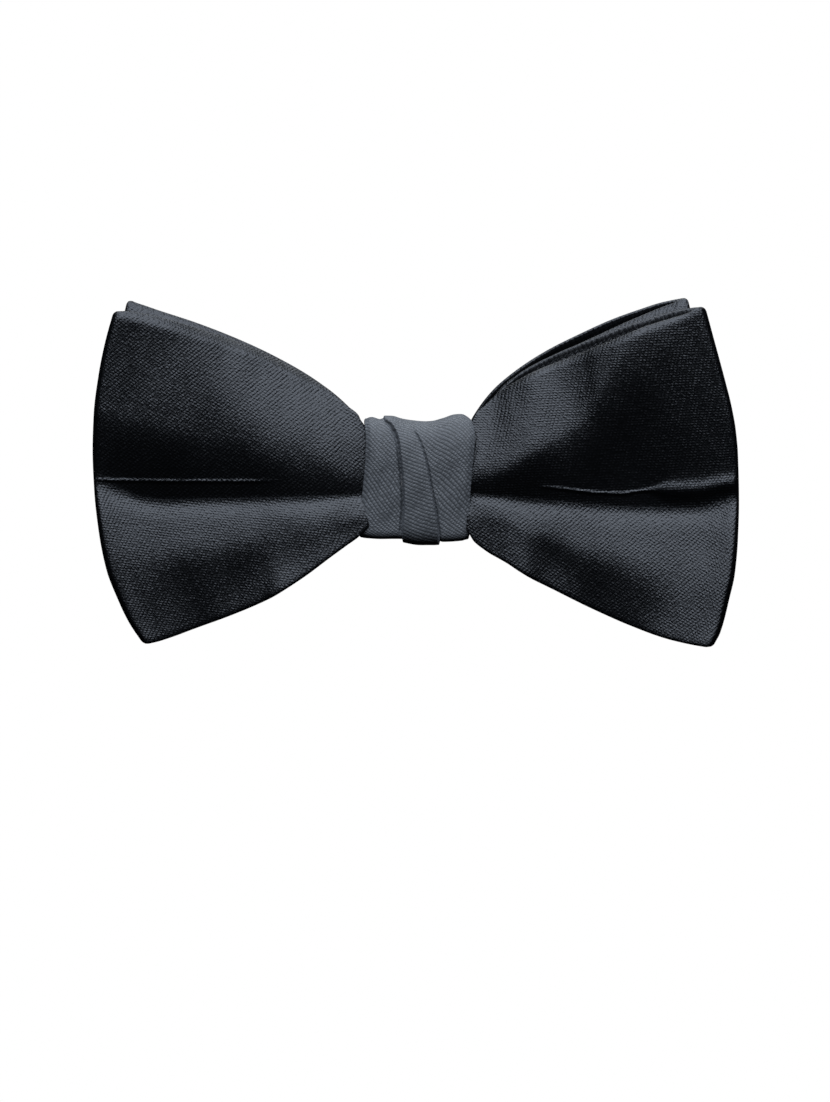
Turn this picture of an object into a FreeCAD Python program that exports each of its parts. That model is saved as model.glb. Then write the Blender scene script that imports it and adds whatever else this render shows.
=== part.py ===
import FreeCAD, Part
import math
import os
import Sketcher
import PartDesign
from FreeCAD import Vector, Placement, Rotation

# Pre-tied clip-on bow tie. Millimetres, in the part's own frame: +X to the viewer's right, +Y from the front of
# the tie towards the collar, +Z up. The origin is on the clip's gripping plane (the rear face of the
# base plate), half way between the two jaws. The front of the bow faces -Y.

doc = FreeCAD.newDocument("bow_tie")
sheet = doc.addObject("Spreadsheet::Sheet", "dims")

# ---------------------------------------------------------------- driving dimensions
TABLE = [
    # alias, value, what it is
    ("edge_left", 60.0, "left wing, furthest reach of the folded edge"),
    ("edge_right", 59.7, "right wing, furthest reach of the folded edge"),
    ("front_y_front", -11.6, "front band at the waist, front face"),
    ("front_y_rear", -6.6, "front band at the waist, rear face"),
    ("back_y_front", -6.4, "back band at the waist, front face"),
    ("back_y_rear", -1.4, "back band at the waist, rear face"),
    ("face_thick", 0.35, "satin face panel thickness"),
    ("core_thick", 0.50, "woven interlining thickness"),
    ("lining_thick", 0.30, "satin lining panel thickness"),
    ("ply_gap", 0.05, "gap between two plies"),
    ("core_inset", 0.9, "interlining cut back from the seams"),
    ("lining_inset", 0.45, "lining cut back from the rolled edges"),
    ("waist_half", 9.0, "half height of the gathered waist"),
    ("wrap_half", 10.25, "half width of the knot wrap along X"),
    ("wrap_thick", 0.9, "folded satin of the knot wrap"),
    ("wrapcore_thick", 0.4, "stiffener inside the knot wrap"),
    ("wrap_y_front", -12.95, "inner front face of the satin wrap"),
    ("wrap_y_rear", 0.62, "inner rear face of the satin wrap"),
    ("wrap_z", 10.78, "inner half height of the satin wrap"),
    ("wrap_corner", 2.8, "inner corner radius of the satin wrap"),
    ("pleat_rise", 0.75, "how far the diagonal pleat stands proud"),
    ("thread_dia", 0.45, "waist binding thread diameter"),
    ("binding_pitch", 0.6, "spacing of the binding turns"),
    ("stitch_dia", 0.4, "sewing thread of the stitches"),
    ("plate_half", 29.0, "half length of the clip base plate"),
    ("plate_hw", 4.0, "half width of the clip base plate"),
    ("plate_thick", 0.8, "base plate sheet thickness"),
    ("plate_corner", 2.0, "base plate corner radius"),
    ("sew_x", 6.0, "sewing hole distance from the middle"),
    ("sew_r", 0.7, "sewing hole radius"),
    ("pin_x", 18.0, "hinge pin distance from the middle"),
    ("pin_y", 2.2, "hinge pin height over the gripping plane"),
    ("pin_rad", 0.6, "hinge pin radius"),
    ("pin_half", 4.5, "half length of the hinge pin over its heads"),
    ("pin_head_rad", 0.95, "hinge pin head radius"),
    ("pin_head_thick", 0.3, "hinge pin head thickness"),
    ("ear_in", 3.2, "inner face of the base plate ears"),
    ("ear_rad", 1.7, "ear outer radius"),
    ("ear_hole_rad", 0.62, "hole in the base plate ears"),
    ("jaw_half", 2.9, "half width of a jaw"),
    ("jaw_cheek", 2.3, "inner face of a jaw cheek"),
    ("jaw_cheek_rad", 1.6, "jaw cheek outer radius"),
    ("jaw_hole_rad", 0.66, "running hole in the jaw cheeks"),
    ("jaw_gap", 0.15, "gap under the closed jaw teeth"),
    ("tooth_depth", 0.7, "depth of the notches between the teeth"),
    ("tooth_pitch", 1.16, "tooth spacing"),
    ("coil_rad", 1.05, "torsion spring mean coil radius"),
    ("coil_pitch", 0.56, "torsion spring pitch"),
    ("coil_turns", 3.5, "torsion spring turns"),
    ("wire_rad", 0.24, "torsion spring wire radius"),
    ("grip_rib_rad", 0.35, "finger rib radius on the jaw tab"),
]
for i, (alias, value, words) in enumerate(TABLE, 1):
    sheet.set("A%d" % i, alias)
    sheet.set("B%d" % i, str(value))
    sheet.set("C%d" % i, words)
    sheet.setAlias("B%d" % i, alias)
doc.recompute()


class Q:
    """A size with its value and the sheet expression that gives it."""

    def __init__(self, v, e):
        self.v, self.e = float(v), e

    def __add__(self, o):
        o = q(o)
        return Q(self.v + o.v, "(%s + %s)" % (self.e, o.e))

    def __radd__(self, o):
        return q(o) + self

    def __sub__(self, o):
        o = q(o)
        return Q(self.v - o.v, "(%s - %s)" % (self.e, o.e))

    def __rsub__(self, o):
        return q(o) - self

    def __mul__(self, o):
        o = q(o)
        return Q(self.v * o.v, "(%s * %s)" % (self.e, o.e))

    def __rmul__(self, o):
        return q(o) * self

    def __neg__(self):
        return Q(-self.v, "(-1 * %s)" % self.e)


def q(x):
    return x if isinstance(x, Q) else Q(x, "%.6g" % x)


def D(alias):
    return Q(float(sheet.get(alias)), "dims.%s" % alias)


def val(alias):
    return float(sheet.get(alias))


# ---------------------------------------------------------------- PartDesign helpers
def new_body(name):
    b = doc.addObject("PartDesign::Body", name)
    b.Label = name
    return b


def plane(body, role):
    return [f for f in body.Origin.OriginFeatures if f.Role == role][0]


def new_sketch(body, name, role, offset=None):
    s = body.newObject("Sketcher::SketchObject", name)
    s.AttachmentSupport = [(plane(body, role), "")]
    s.MapMode = "FlatFace"
    if offset is not None:
        off = q(offset)
        s.AttachmentOffset = Placement(Vector(0, 0, off.v), Rotation())
        s.setExpression("AttachmentOffset.Base.z", off.e)
    return s


def add_polygon(s, points):
    """A closed polygon whose every corner is placed by two driven distances."""
    first = s.GeometryCount
    pts = [(q(a), q(b)) for a, b in points]
    n = len(pts)
    for i in range(n):
        a, b = pts[i], pts[(i + 1) % n]
        s.addGeometry(Part.LineSegment(Vector(a[0].v, a[1].v, 0), Vector(b[0].v, b[1].v, 0)), False)
    for i in range(n):
        s.addConstraint(Sketcher.Constraint("Coincident", first + i, 2, first + (i + 1) % n, 1))
    for i in range(n):
        k = s.addConstraint(Sketcher.Constraint("DistanceX", -1, 1, first + i, 1, pts[i][0].v))
        s.setExpression("Constraints[%d]" % k, pts[i][0].e)
        k = s.addConstraint(Sketcher.Constraint("DistanceY", -1, 1, first + i, 1, pts[i][1].v))
        s.setExpression("Constraints[%d]" % k, pts[i][1].e)


def add_circle(s, x, y, r):
    x, y, r = q(x), q(y), q(r)
    g = s.addGeometry(Part.Circle(Vector(x.v, y.v, 0), Vector(0, 0, 1), r.v), False)
    k = s.addConstraint(Sketcher.Constraint("DistanceX", -1, 1, g, 3, x.v))
    s.setExpression("Constraints[%d]" % k, x.e)
    k = s.addConstraint(Sketcher.Constraint("DistanceY", -1, 1, g, 3, y.v))
    s.setExpression("Constraints[%d]" % k, y.e)
    k = s.addConstraint(Sketcher.Constraint("Radius", g, r.v))
    s.setExpression("Constraints[%d]" % k, r.e)


def pad(body, name, sketch, length, symmetric=False, reverse=False):
    p = body.newObject("PartDesign::Pad", name)
    p.Profile = sketch
    length = q(length)
    p.Length = length.v
    p.setExpression("Length", length.e)
    if symmetric:
        p.SideType = "Symmetric"
    p.Reversed = reverse
    doc.recompute()
    return p


def pocket(body, name, sketch, length, symmetric=False, reverse=False):
    before = body.Shape.Volume
    p = body.newObject("PartDesign::Pocket", name)
    p.Profile = sketch
    length = q(length)
    p.Length = length.v
    p.setExpression("Length", length.e)
    if symmetric:
        p.SideType = "Symmetric"
    p.Reversed = reverse
    doc.recompute()
    if not p.Shape.Volume < before - 1e-6:
        raise RuntimeError("%s cut nothing" % name)
    return p


# ---------------------------------------------------------------- clip hardware
def base_plate():
    b = new_body("clip_base_plate")
    t = D("plate_thick")
    L, W = D("plate_half"), D("plate_hw")
    s = new_sketch(b, "plate_outline", "XZ_Plane")
    add_polygon(s, [(-L, -W), (L, -W), (L, W), (-L, W)])
    strip = pad(b, "plate_pad", s, t)
    # rounded ends of the strip
    edges = []
    shape = b.Shape
    for i, e in enumerate(shape.Edges, 1):
        d = e.Vertexes[-1].Point - e.Vertexes[0].Point
        if abs(abs(d.y) - val("plate_thick")) < 1e-6 and abs(d.x) < 1e-6 and abs(d.z) < 1e-6:
            edges.append("Edge%d" % i)
    f = b.newObject("PartDesign::Fillet", "plate_corners")
    f.Base = (strip, edges)
    f.Radius = val("plate_corner")
    f.setExpression("Radius", "dims.plate_corner")
    doc.recompute()
    # four ears that carry the hinge pins, folded up from the long edges
    ear_t = D("plate_hw") - D("ear_in")
    for tag, start, rev in (("top", D("ear_in"), False), ("bottom", -D("ear_in"), True)):
        for side, sx in (("right", 1), ("left", -1)):
            px, py, r = sx * D("pin_x"), D("pin_y"), D("ear_rad")
            s = new_sketch(b, "ear_web_%s_%s" % (tag, side), "XY_Plane", start)
            add_polygon(s, [(px - r, -0.5 * t), (px + r, -0.5 * t), (px + r, py), (px - r, py)])
            pad(b, "ear_web_pad_%s_%s" % (tag, side), s, ear_t, reverse=rev)
            s = new_sketch(b, "ear_round_%s_%s" % (tag, side), "XY_Plane", start)
            add_circle(s, px, py, r)
            pad(b, "ear_round_pad_%s_%s" % (tag, side), s, ear_t, reverse=rev)
    s = new_sketch(b, "pin_holes", "XY_Plane")
    add_circle(s, D("pin_x"), D("pin_y"), D("ear_hole_rad"))
    add_circle(s, -D("pin_x"), D("pin_y"), D("ear_hole_rad"))
    pocket(b, "pin_hole_cut", s, 4 * D("plate_hw"), symmetric=True)
    s = new_sketch(b, "sewing_holes", "XZ_Plane")
    add_circle(s, D("sew_x"), 0, D("sew_r"))
    add_circle(s, -D("sew_x"), 0, D("sew_r"))
    pocket(b, "sewing_hole_cut", s, 4 * t, symmetric=True)
    return b


def jaw(side, sx):
    """A stamped lever: teeth at the outer end, cheeks on the pin, a finger tab at the inner end."""
    b = new_body("clip_jaw_%s" % side)
    g = D("jaw_gap")
    px, py = D("pin_x"), D("pin_y")
    rel = [  # outline of the bent strip, from the pin: rear surface out to the teeth, then back
        (-6.0, 3.80), (-3.0, 2.70), (-1.0, 2.25), (1.5, 2.15), (7.5, 0.10), (10.3, -0.45),
    ]
    back = [(9.75, -0.95), (7.2, -0.45), (1.3, 1.55), (-1.0, 1.65), (-3.2, 2.10), (-6.2, 3.23)]
    pts = [(sx * (px + x), py + y) for x, y in rel]
    pts += [(sx * (px + 10.7), g), (sx * (px + 10.1), g)]
    pts += [(sx * (px + x), py + y) for x, y in back]
    s = new_sketch(b, "strip_%s" % side, "XY_Plane")
    add_polygon(s, pts)
    pad(b, "strip_pad_%s" % side, s, 2 * D("jaw_half"), symmetric=True)
    cheek_t = D("jaw_half") - D("jaw_cheek")
    for tag, start, rev in (("top", D("jaw_cheek"), False), ("bottom", -D("jaw_cheek"), True)):
        s = new_sketch(b, "cheek_web_%s_%s" % (tag, side), "XY_Plane", start)
        add_polygon(s, [(sx * (px - 1.5), py), (sx * (px + 1.55), py), (sx * (px + 2.6), py + 1.4), (sx * (px + 0.9), py + 1.9), (sx * (px - 1.2), py + 1.9), (sx * (px - 2.1), py + 2.0)])
        pad(b, "cheek_web_pad_%s_%s" % (tag, side), s, cheek_t, reverse=rev)
        s = new_sketch(b, "cheek_round_%s_%s" % (tag, side), "XY_Plane", start)
        add_circle(s, sx * px, py, D("jaw_cheek_rad"))
        pad(b, "cheek_round_pad_%s_%s" % (tag, side), s, cheek_t, reverse=rev)
    s = new_sketch(b, "cheek_hole_%s" % side, "XY_Plane")
    add_circle(s, sx * px, py, D("jaw_hole_rad"))
    pocket(b, "cheek_hole_cut_%s" % side, s, 4 * D("jaw_half"), symmetric=True)
    # V notches that leave a row of teeth at the tip
    s = new_sketch(b, "notches_%s" % side, "YZ_Plane", sx * (px + 11.0))
    p, dp = D("tooth_pitch"), D("tooth_depth")
    for k in (-2, -1, 0, 1, 2):
        add_polygon(s, [(g - 0.05, (k - 0.36) * p), (g + dp, k * p), (g - 0.05, (k + 0.36) * p)])
    pocket(b, "notch_cut_%s" % side, s, 1.4, reverse=sx < 0)
    # finger rib across the end of the tab
    s = new_sketch(b, "rib_%s" % side, "XY_Plane")
    add_circle(s, sx * (px - 5.85), py + 3.62, D("grip_rib_rad"))
    pad(b, "rib_pad_%s" % side, s, 2 * D("jaw_half"), symmetric=True)
    return b


def hinge_pin(side, sx):
    b = new_body("hinge_pin_%s" % side)
    s = new_sketch(b, "pin_half_section_%s" % side, "XZ_Plane")
    r, hr, h, ht = D("pin_rad"), D("pin_head_rad"), D("pin_half"), D("pin_head_thick")
    add_polygon(s, [(0, -h), (hr, -h), (hr, -1 * (h - ht)), (r, -1 * (h - ht)), (r, h - ht), (hr, h - ht), (hr, h), (0, h)])
    rev = b.newObject("PartDesign::Revolution", "pin_turned_%s" % side)
    rev.Profile = s
    rev.ReferenceAxis = (s, ["V_Axis"])
    rev.Angle = 360
    doc.recompute()
    b.Placement = Placement(Vector(sx * val("pin_x"), val("pin_y"), 0), Rotation())
    b.setExpression("Placement.Base.x", "%d * dims.pin_x" % sx)
    b.setExpression("Placement.Base.y", "dims.pin_y")
    return b


def torsion_spring(side, sx):
    """Wire coil round the pin. One leg lies on the plate, the other bears under the finger tab."""
    r, pitch, turns, w = val("coil_rad"), val("coil_pitch"), val("coil_turns"), val("wire_rad")
    height = pitch * turns
    helix = Part.makeHelix(pitch, height, r)
    helix.rotate(Vector(0, 0, 0), Vector(0, 0, 1), -90)
    helix.translate(Vector(0, 0, -height / 2))
    ends = sorted((v.Point for v in helix.Vertexes), key=lambda p: p.z)
    ring = Part.Wire([Part.makeCircle(w, ends[0], Vector(1, 0, 0))])
    coil = Part.Wire(helix.Edges).makePipeShell([ring], True, True)
    low_end, high_end = Vector(-4.4, -1.83, -height / 2), Vector(-4.2, 1.98, height / 2)
    shape = coil
    for inner, outer in ((ends[0], low_end), (ends[-1], high_end)):
        d = outer - inner
        shape = shape.fuse(Part.makeSphere(w, inner)).fuse(Part.makeCylinder(w, d.Length, inner, d)).fuse(Part.makeSphere(w, outer))
    shape = shape.Solids[0] if len(shape.Solids) == 1 else shape
    if sx < 0:
        shape = shape.mirror(Vector(0, 0, 0), Vector(1, 0, 0))
    f = doc.addObject("Part::Feature", "torsion_spring_%s" % side)
    f.Label = f.Name
    f.Shape = shape
    f.Placement = Placement(Vector(sx * val("pin_x"), val("pin_y"), 0), Rotation())
    return f


# ---------------------------------------------------------------- soft goods
# The two bands are loops: a front leaf and a rear leaf joined by a fold at each wing's outer edge.
# Each band is cut from a satin face panel, a woven interlining and a satin lining panel.

# Reach of the folded edge at each height, as (z, distance from the middle).
FRONT_LEFT = [(-33, 49.0), (-30.6, 50.8), (-26.7, 53.4), (-22.3, 55.5), (-17.1, 57.5), (-9.6, 59.0), (-2.2, 59.8), (5.2, 60.0), (11.7, 59.8), (19.1, 58.9), (24.7, 57.8), (30.6, 56.2), (34, 55.2)]
FRONT_RIGHT = [(-33, 54.3), (-31.0, 55.0), (-28.9, 56.1), (-22.3, 57.9), (-17.8, 58.9), (-11.1, 59.5), (-4.5, 59.7), (4.5, 59.4), (8.9, 59.0), (13.4, 58.2), (17.8, 57.1), (22.3, 56.0), (26.7, 54.8), (30.8, 53.7), (34, 52.8)]
BACK_LEFT = [(-33, 48.0), (-28, 51.0), (-22.3, 55.2), (-17.1, 57.5), (-9.6, 59.5), (-4, 60.0), (1, 60.0), (8, 59.4), (16, 57.9), (24.7, 55.8), (33.0, 53.9), (35, 53.3)]
BACK_RIGHT = [(-33, 52.0), (-28, 54.5), (-22.3, 56.6), (-15, 58.3), (-7, 59.0), (0, 58.8), (8, 57.8), (16, 56.0), (24.7, 53.4), (33.0, 50.9), (35, 50.2)]

# Top and bottom edges, as (x, z) from the left corner to the right one.
WAIST = val("waist_half")
FRONT_TOP = [(-62, 30.4), (-56.0, 30.7), (-52.4, 30.5), (-48.4, 29.6), (-44.4, 28.7), (-38.4, 26.9), (-31.9, 24.7), (-27.5, 22.8), (-20.8, 19.0), (-15.2, 15.0), (-12.6, 12.4), (-10.6, 9.5), (-9.0, WAIST), (9.0, WAIST), (10.6, 9.5), (12.6, 12.6), (15.6, 16.0), (19, 18.6), (25.6, 21.4), (33.4, 24.6), (41.2, 27.6), (47.7, 29.9), (53.6, 31.0), (62, 31.4)]
FRONT_BOTTOM = [(-62, -32.5), (-50.6, -30.6), (-47.5, -29.9), (-40.8, -27.5), (-34.1, -25.0), (-27.5, -22.1), (-20.8, -18.0), (-15.2, -13.7), (-12.6, -11.3), (-10.6, -9.5), (-9.0, -WAIST), (9.0, -WAIST), (10.6, -9.5), (12.6, -11.8), (16.5, -15.3), (19.3, -17.1), (26.0, -20.6), (32.6, -23.9), (39.3, -26.9), (46.0, -29.3), (50.5, -30.4), (54.9, -31.1), (62, -31.6)]
BACK_TOP = [(-62, 35.0), (-53.6, 33.0), (-47.5, 31.0), (-40.8, 28.8), (-34.1, 26.2), (-27.5, 23.2), (-20.8, 19.3), (-15.2, 15.2), (-12.6, 12.4), (-10.6, 9.5), (-9.0, WAIST), (9.0, WAIST), (10.6, 9.5), (12.6, 12.8), (17.1, 18.4), (23.7, 23.2), (30.4, 26.7), (37.1, 29.7), (41.6, 31.3), (46.0, 32.6), (50.5, 33.4), (62, 34.5)]
BACK_BOTTOM = [(-62, -32.0), (-49.5, -28.6), (-40.8, -25.9), (-34.1, -23.4), (-27.5, -20.3), (-20.8, -16.6), (-15.2, -12.9), (-12.6, -10.9), (-10.6, -9.5), (-9.0, -WAIST), (9.0, -WAIST), (10.6, -9.5), (12.6, -11.2), (19.3, -15.9), (26.0, -19.2), (32.6, -22.3), (39.3, -25.2), (46.0, -27.6), (53.0, -29.4), (62, -31.0)]

# Depth of each band's two leaves along the wing, as (share of the reach, y of the outer surface).
FRONT_FRONT = [(0.0, -11.6), (0.16, -11.7), (0.26, -12.3), (0.42, -12.0), (0.50, -11.4), (0.60, -10.9), (0.78, -10.8), (0.90, -11.2), (0.96, -11.4)]
FRONT_REAR = [(0.0, -6.6), (0.16, -6.75), (0.26, -7.2), (0.42, -7.6), (0.60, -7.7), (0.78, -7.8), (0.90, -8.1), (0.96, -8.5)]
BACK_FRONT = [(0.0, -6.4), (0.16, -6.45), (0.26, -6.85), (0.42, -7.2), (0.60, -7.25), (0.78, -7.1), (0.90, -6.5), (0.96, -5.9)]
BACK_REAR = [(0.0, -1.4), (0.16, -1.4), (0.26, -1.35), (0.42, -1.25), (0.60, -1.2), (0.78, -1.4), (0.90, -1.9), (0.96, -2.3)]


# The front leaf of the front bow swells into an upper and a lower lobe that meet in a valley. By share of the reach: how far
# each lobe stands forward of the valley, how far the top edge falls back again, and how far up the upper lobe its crest lies.
VALLEY_LEFT = [(0.0, -1.0), (0.17, -1.8), (0.27, -2.9), (0.35, -4.0), (0.47, -4.6), (0.78, -4.9), (0.87, -4.5), (0.93, -3.0), (1.0, -0.9)]
VALLEY_RIGHT = [(0.0, -1.0), (0.17, -2.2), (0.27, -3.4), (0.37, -4.6), (0.50, -5.5), (0.67, -6.0), (0.84, -5.9), (0.92, -5.2), (1.0, -3.2)]
UPPER_LEFT = [(0.0, 0.0), (0.16, 0.0), (0.26, 1.6), (0.42, 2.0), (0.60, 2.5), (0.78, 3.1), (0.90, 2.5), (0.96, 1.8)]
UPPER_RIGHT = [(0.0, 0.0), (0.16, 0.0), (0.26, 1.5), (0.42, 2.3), (0.60, 4.0), (0.70, 4.3), (0.80, 3.9), (0.90, 2.9), (0.96, 2.0)]
FALL_LEFT = [(0.0, 0.0), (0.16, 0.0), (0.26, 3.2), (0.42, 3.3), (0.60, 2.4), (0.78, 1.9), (0.90, 1.8), (0.96, 1.4)]
FALL_RIGHT = [(0.0, 0.0), (0.16, 0.0), (0.26, 2.6), (0.42, 2.3), (0.60, 1.4), (0.70, 1.0), (0.80, 1.0), (0.90, 1.0), (0.96, 0.8)]
CREST_LEFT = [(0.0, 0.40), (0.26, 0.30), (0.42, 0.30), (0.60, 0.34), (0.80, 0.40), (1.0, 0.42)]
CREST_RIGHT = [(0.0, 0.40), (0.26, 0.35), (0.42, 0.42), (0.60, 0.60), (0.70, 0.75), (0.80, 0.80), (1.0, 0.80)]
LOWER_LEFT = [(0.0, 0.0), (0.16, 0.0), (0.26, 1.6), (0.42, 2.0), (0.60, 1.9), (0.78, 2.0), (0.90, 2.6), (0.96, 2.2)]
LOWER_RIGHT = [(0.0, 0.0), (0.16, 0.0), (0.26, 1.4), (0.42, 1.3), (0.60, 1.9), (0.70, 2.6), (0.80, 3.9), (0.90, 4.6), (0.96, 3.6)]


def smooth(table, x):
    """Monotone cubic through the table's points."""
    xs = [p[0] for p in table]
    ys = [p[1] for p in table]
    n = len(xs)
    if x <= xs[0]:
        return ys[0]
    if x >= xs[-1]:
        return ys[-1]
    d = [(ys[i + 1] - ys[i]) / (xs[i + 1] - xs[i]) for i in range(n - 1)]
    m = [d[0]] + [0.0] * (n - 2) + [d[-1]]
    for i in range(1, n - 1):
        if d[i - 1] * d[i] > 0:
            h0, h1 = xs[i] - xs[i - 1], xs[i + 1] - xs[i]
            w0, w1 = 2 * h1 + h0, h1 + 2 * h0
            m[i] = (w0 + w1) / (w0 / d[i - 1] + w1 / d[i])
    i = max(k for k in range(n - 1) if xs[k] <= x)
    h = xs[i + 1] - xs[i]
    t = (x - xs[i]) / h
    return (ys[i] * (1 + 2 * t) * (1 - t) ** 2 + m[i] * h * t * (1 - t) ** 2
            + ys[i + 1] * t * t * (3 - 2 * t) + m[i + 1] * h * t * t * (t - 1))


def leaf_depths(which):
    if which == "front":
        shift_f = val("front_y_front") - FRONT_FRONT[0][1]
        shift_r = val("front_y_rear") - FRONT_REAR[0][1]
        return [(a, b + shift_f) for a, b in FRONT_FRONT], [(a, b + shift_r) for a, b in FRONT_REAR]
    shift_f = val("back_y_front") - BACK_FRONT[0][1]
    shift_r = val("back_y_rear") - BACK_REAR[0][1]
    return [(a, b + shift_f) for a, b in BACK_FRONT], [(a, b + shift_r) for a, b in BACK_REAR]


def lobes(which, share, z, z0, z1):
    """How far the front leaf stands forward of its valley line at a height between its edges z0 and z1."""
    if which != "front":
        return 0.0
    left = share < 0
    u = min(abs(share), 0.96)
    zv = smooth(VALLEY_LEFT if left else VALLEY_RIGHT, abs(share))
    soft = 2.6 * min(abs(share) / 0.5, 1.0) + 0.4
    off = math.hypot(z - zv, soft) - soft  # height from the valley line, rounded at the bottom of the valley
    if z < zv:
        t = min(off / (zv - z0), 1.0)
        return smooth(LOWER_LEFT if left else LOWER_RIGHT, u) * (1 - (1 - t) ** 2.2)
    rise, fall, c = (smooth(a if left else b, u) for a, b in ((UPPER_LEFT, UPPER_RIGHT), (FALL_LEFT, FALL_RIGHT), (CREST_LEFT, CREST_RIGHT)))
    t = min(off / (z1 - zv), 1.0)
    return rise * (1 - (1 - t / c) ** 2) if t < c else rise - fall * ((t - c) / (1 - c)) ** 1.6


def stations(which):
    """Places round the loop as (signed share of the reach, y, weight of the front leaf's lobes), from the middle of the rear leaf."""
    front, rear = leaf_depths(which)
    shares = [0.04, 0.08, 0.12, 0.15, 0.17, 0.19, 0.21, 0.235, 0.27, 0.31, 0.36, 0.42, 0.49, 0.56, 0.63, 0.70, 0.77, 0.83, 0.88, 0.925, 0.96]
    yf, yr = smooth(front, 0.96), smooth(rear, 0.96)
    mid, rad = (yf + yr) / 2, (yr - yf) / 2
    out = [(0.0, smooth(rear, 0.0), 0.0)]
    out += [(-u, smooth(rear, u), 0.0) for u in shares]
    for k in range(1, 8):
        a = math.pi * k / 8
        out.append((-0.96 - 0.04 * math.sin(a), mid + rad * math.cos(a), (1 - math.cos(a)) / 2))
    out += [(-u, smooth(front, u), 1.0) for u in reversed(shares)]
    out.append((0.0, smooth(front, 0.0), 1.0))
    out += [(u, smooth(front, u), 1.0) for u in shares]
    for k in range(1, 8):
        a = math.pi * k / 8
        out.append((0.96 + 0.04 * math.sin(a), mid - rad * math.cos(a), (1 + math.cos(a)) / 2))
    out += [(u, smooth(rear, u), 0.0) for u in reversed(shares)]
    return out


def reach_at(which, side, z):
    if which == "front":
        table = FRONT_RIGHT if side > 0 else FRONT_LEFT
    else:
        table = BACK_RIGHT if side > 0 else BACK_LEFT
    return smooth(table, z) * (val("edge_right") / 59.7 if side > 0 else val("edge_left") / 60.0)


def edge_height(which, table, share, up):
    """Height of the top or bottom edge at a share of the reach; the corners are slightly rounded."""
    z = smooth(table, share * 57.0)
    for _ in range(12):
        z = smooth(table, share * reach_at(which, share, z))
    a = (abs(share) - 0.97) / 0.03
    if a > 0:
        z -= up * 1.3 * (1 - math.sqrt(max(0.0, 1 - min(a, 1.0) ** 2)))
    return z


ROWS = 20


def ply_surface(which, depth, edge_inset):
    """Grid of points on one side of a ply: round the loop, then from the bottom edge to the top."""
    st = stations(which)
    n = len(st)
    top, bottom = (FRONT_TOP, FRONT_BOTTOM) if which == "front" else (BACK_TOP, BACK_BOTTOM)
    grid = []
    for i in range(n + 1):
        share, y, w = st[i % n]
        top_z = edge_height(which, top, share, 1)
        bottom_z = edge_height(which, bottom, share, -1)
        z1, z0 = top_z - edge_inset, bottom_z + edge_inset
        row = []
        for j in range(ROWS + 1):
            z = z0 + (z1 - z0) * j / ROWS
            s0, y0, w0 = st[(i - 1) % n]
            s1, y1, w1 = st[(i + 1) % n]
            y0 -= w0 * lobes(which, s0, z, bottom_z, top_z)
            y1 -= w1 * lobes(which, s1, z, bottom_z, top_z)
            x = share * reach_at(which, share, z)
            tx = s1 * reach_at(which, s1, z) - s0 * reach_at(which, s0, z)
            ty = y1 - y0
            l = math.hypot(tx, ty)
            # seen from above the stations run with the inside of the loop on the left of each step
            row.append(Vector(x - ty / l * depth, y - w * lobes(which, share, z, bottom_z, top_z) + tx / l * depth, z))
        grid.append(row)
    return grid


def ply_solid(which, depth, thick, edge_inset):
    faces = []
    rims = []
    for d in (depth, depth + thick):
        surf = Part.BSplineSurface()
        surf.interpolate(ply_surface(which, d, edge_inset))
        faces.append(surf.toShape())
        u0, u1, v0, v1 = surf.bounds()
        rims.append((surf.vIso(v0).toShape(), surf.vIso(v1).toShape()))
    for k in (0, 1):
        faces.append(Part.makeRuledSurface(rims[0][k], rims[1][k]))
    sewn = Part.makeCompound(faces)
    sewn.sewShape(1e-3)
    shells = sewn.Shells
    solid = Part.Solid(shells[0])
    if solid.Volume < 0:
        solid.reverse()
    return solid


def feature(name, shape):
    if shape.ShapeType == "Compound" and len(shape.Solids) == 1:
        shape = shape.Solids[0]
    f = doc.addObject("Part::Feature", name)
    f.Label = name
    f.Shape = shape
    f.Placement = Placement()
    return f


def band(which):
    g = val("ply_gap")
    d0 = 0.0
    d1 = d0 + val("face_thick") + g
    d2 = d1 + val("core_thick") + g
    return [
        feature("%s_bow_face_panel" % which, ply_solid(which, d0, val("face_thick"), 0.0)),
        feature("%s_bow_interlining" % which, ply_solid(which, d1, val("core_thick"), val("core_inset"))),
        feature("%s_bow_lining_panel" % which, ply_solid(which, d2, val("lining_thick"), val("lining_inset"))),
    ]


def rounded_loop(y0, y1, z, r, x0, x1):
    """A prism along X whose section is a rounded rectangle in Y-Z."""
    p = [
        Part.makeLine(Vector(x0, y0 + r, z), Vector(x0, y1 - r, z)),
        Part.Arc(Vector(x0, y1 - r, z), Vector(x0, y1 - r + r * math.sin(math.pi / 4), z - r + r * math.cos(math.pi / 4)), Vector(x0, y1, z - r)).toShape(),
        Part.makeLine(Vector(x0, y1, z - r), Vector(x0, y1, -z + r)),
        Part.Arc(Vector(x0, y1, -z + r), Vector(x0, y1 - r + r * math.sin(math.pi / 4), -z + r - r * math.cos(math.pi / 4)), Vector(x0, y1 - r, -z)).toShape(),
        Part.makeLine(Vector(x0, y1 - r, -z), Vector(x0, y0 + r, -z)),
        Part.Arc(Vector(x0, y0 + r, -z), Vector(x0, y0 + r - r * math.sin(math.pi / 4), -z + r - r * math.cos(math.pi / 4)), Vector(x0, y0, -z + r)).toShape(),
        Part.makeLine(Vector(x0, y0, -z + r), Vector(x0, y0, z - r)),
        Part.Arc(Vector(x0, y0, z - r), Vector(x0, y0 + r - r * math.sin(math.pi / 4), z - r + r * math.cos(math.pi / 4)), Vector(x0, y0 + r, z)).toShape(),
    ]
    return Part.Face(Part.Wire(p)).extrude(Vector(x1 - x0, 0, 0))


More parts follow.
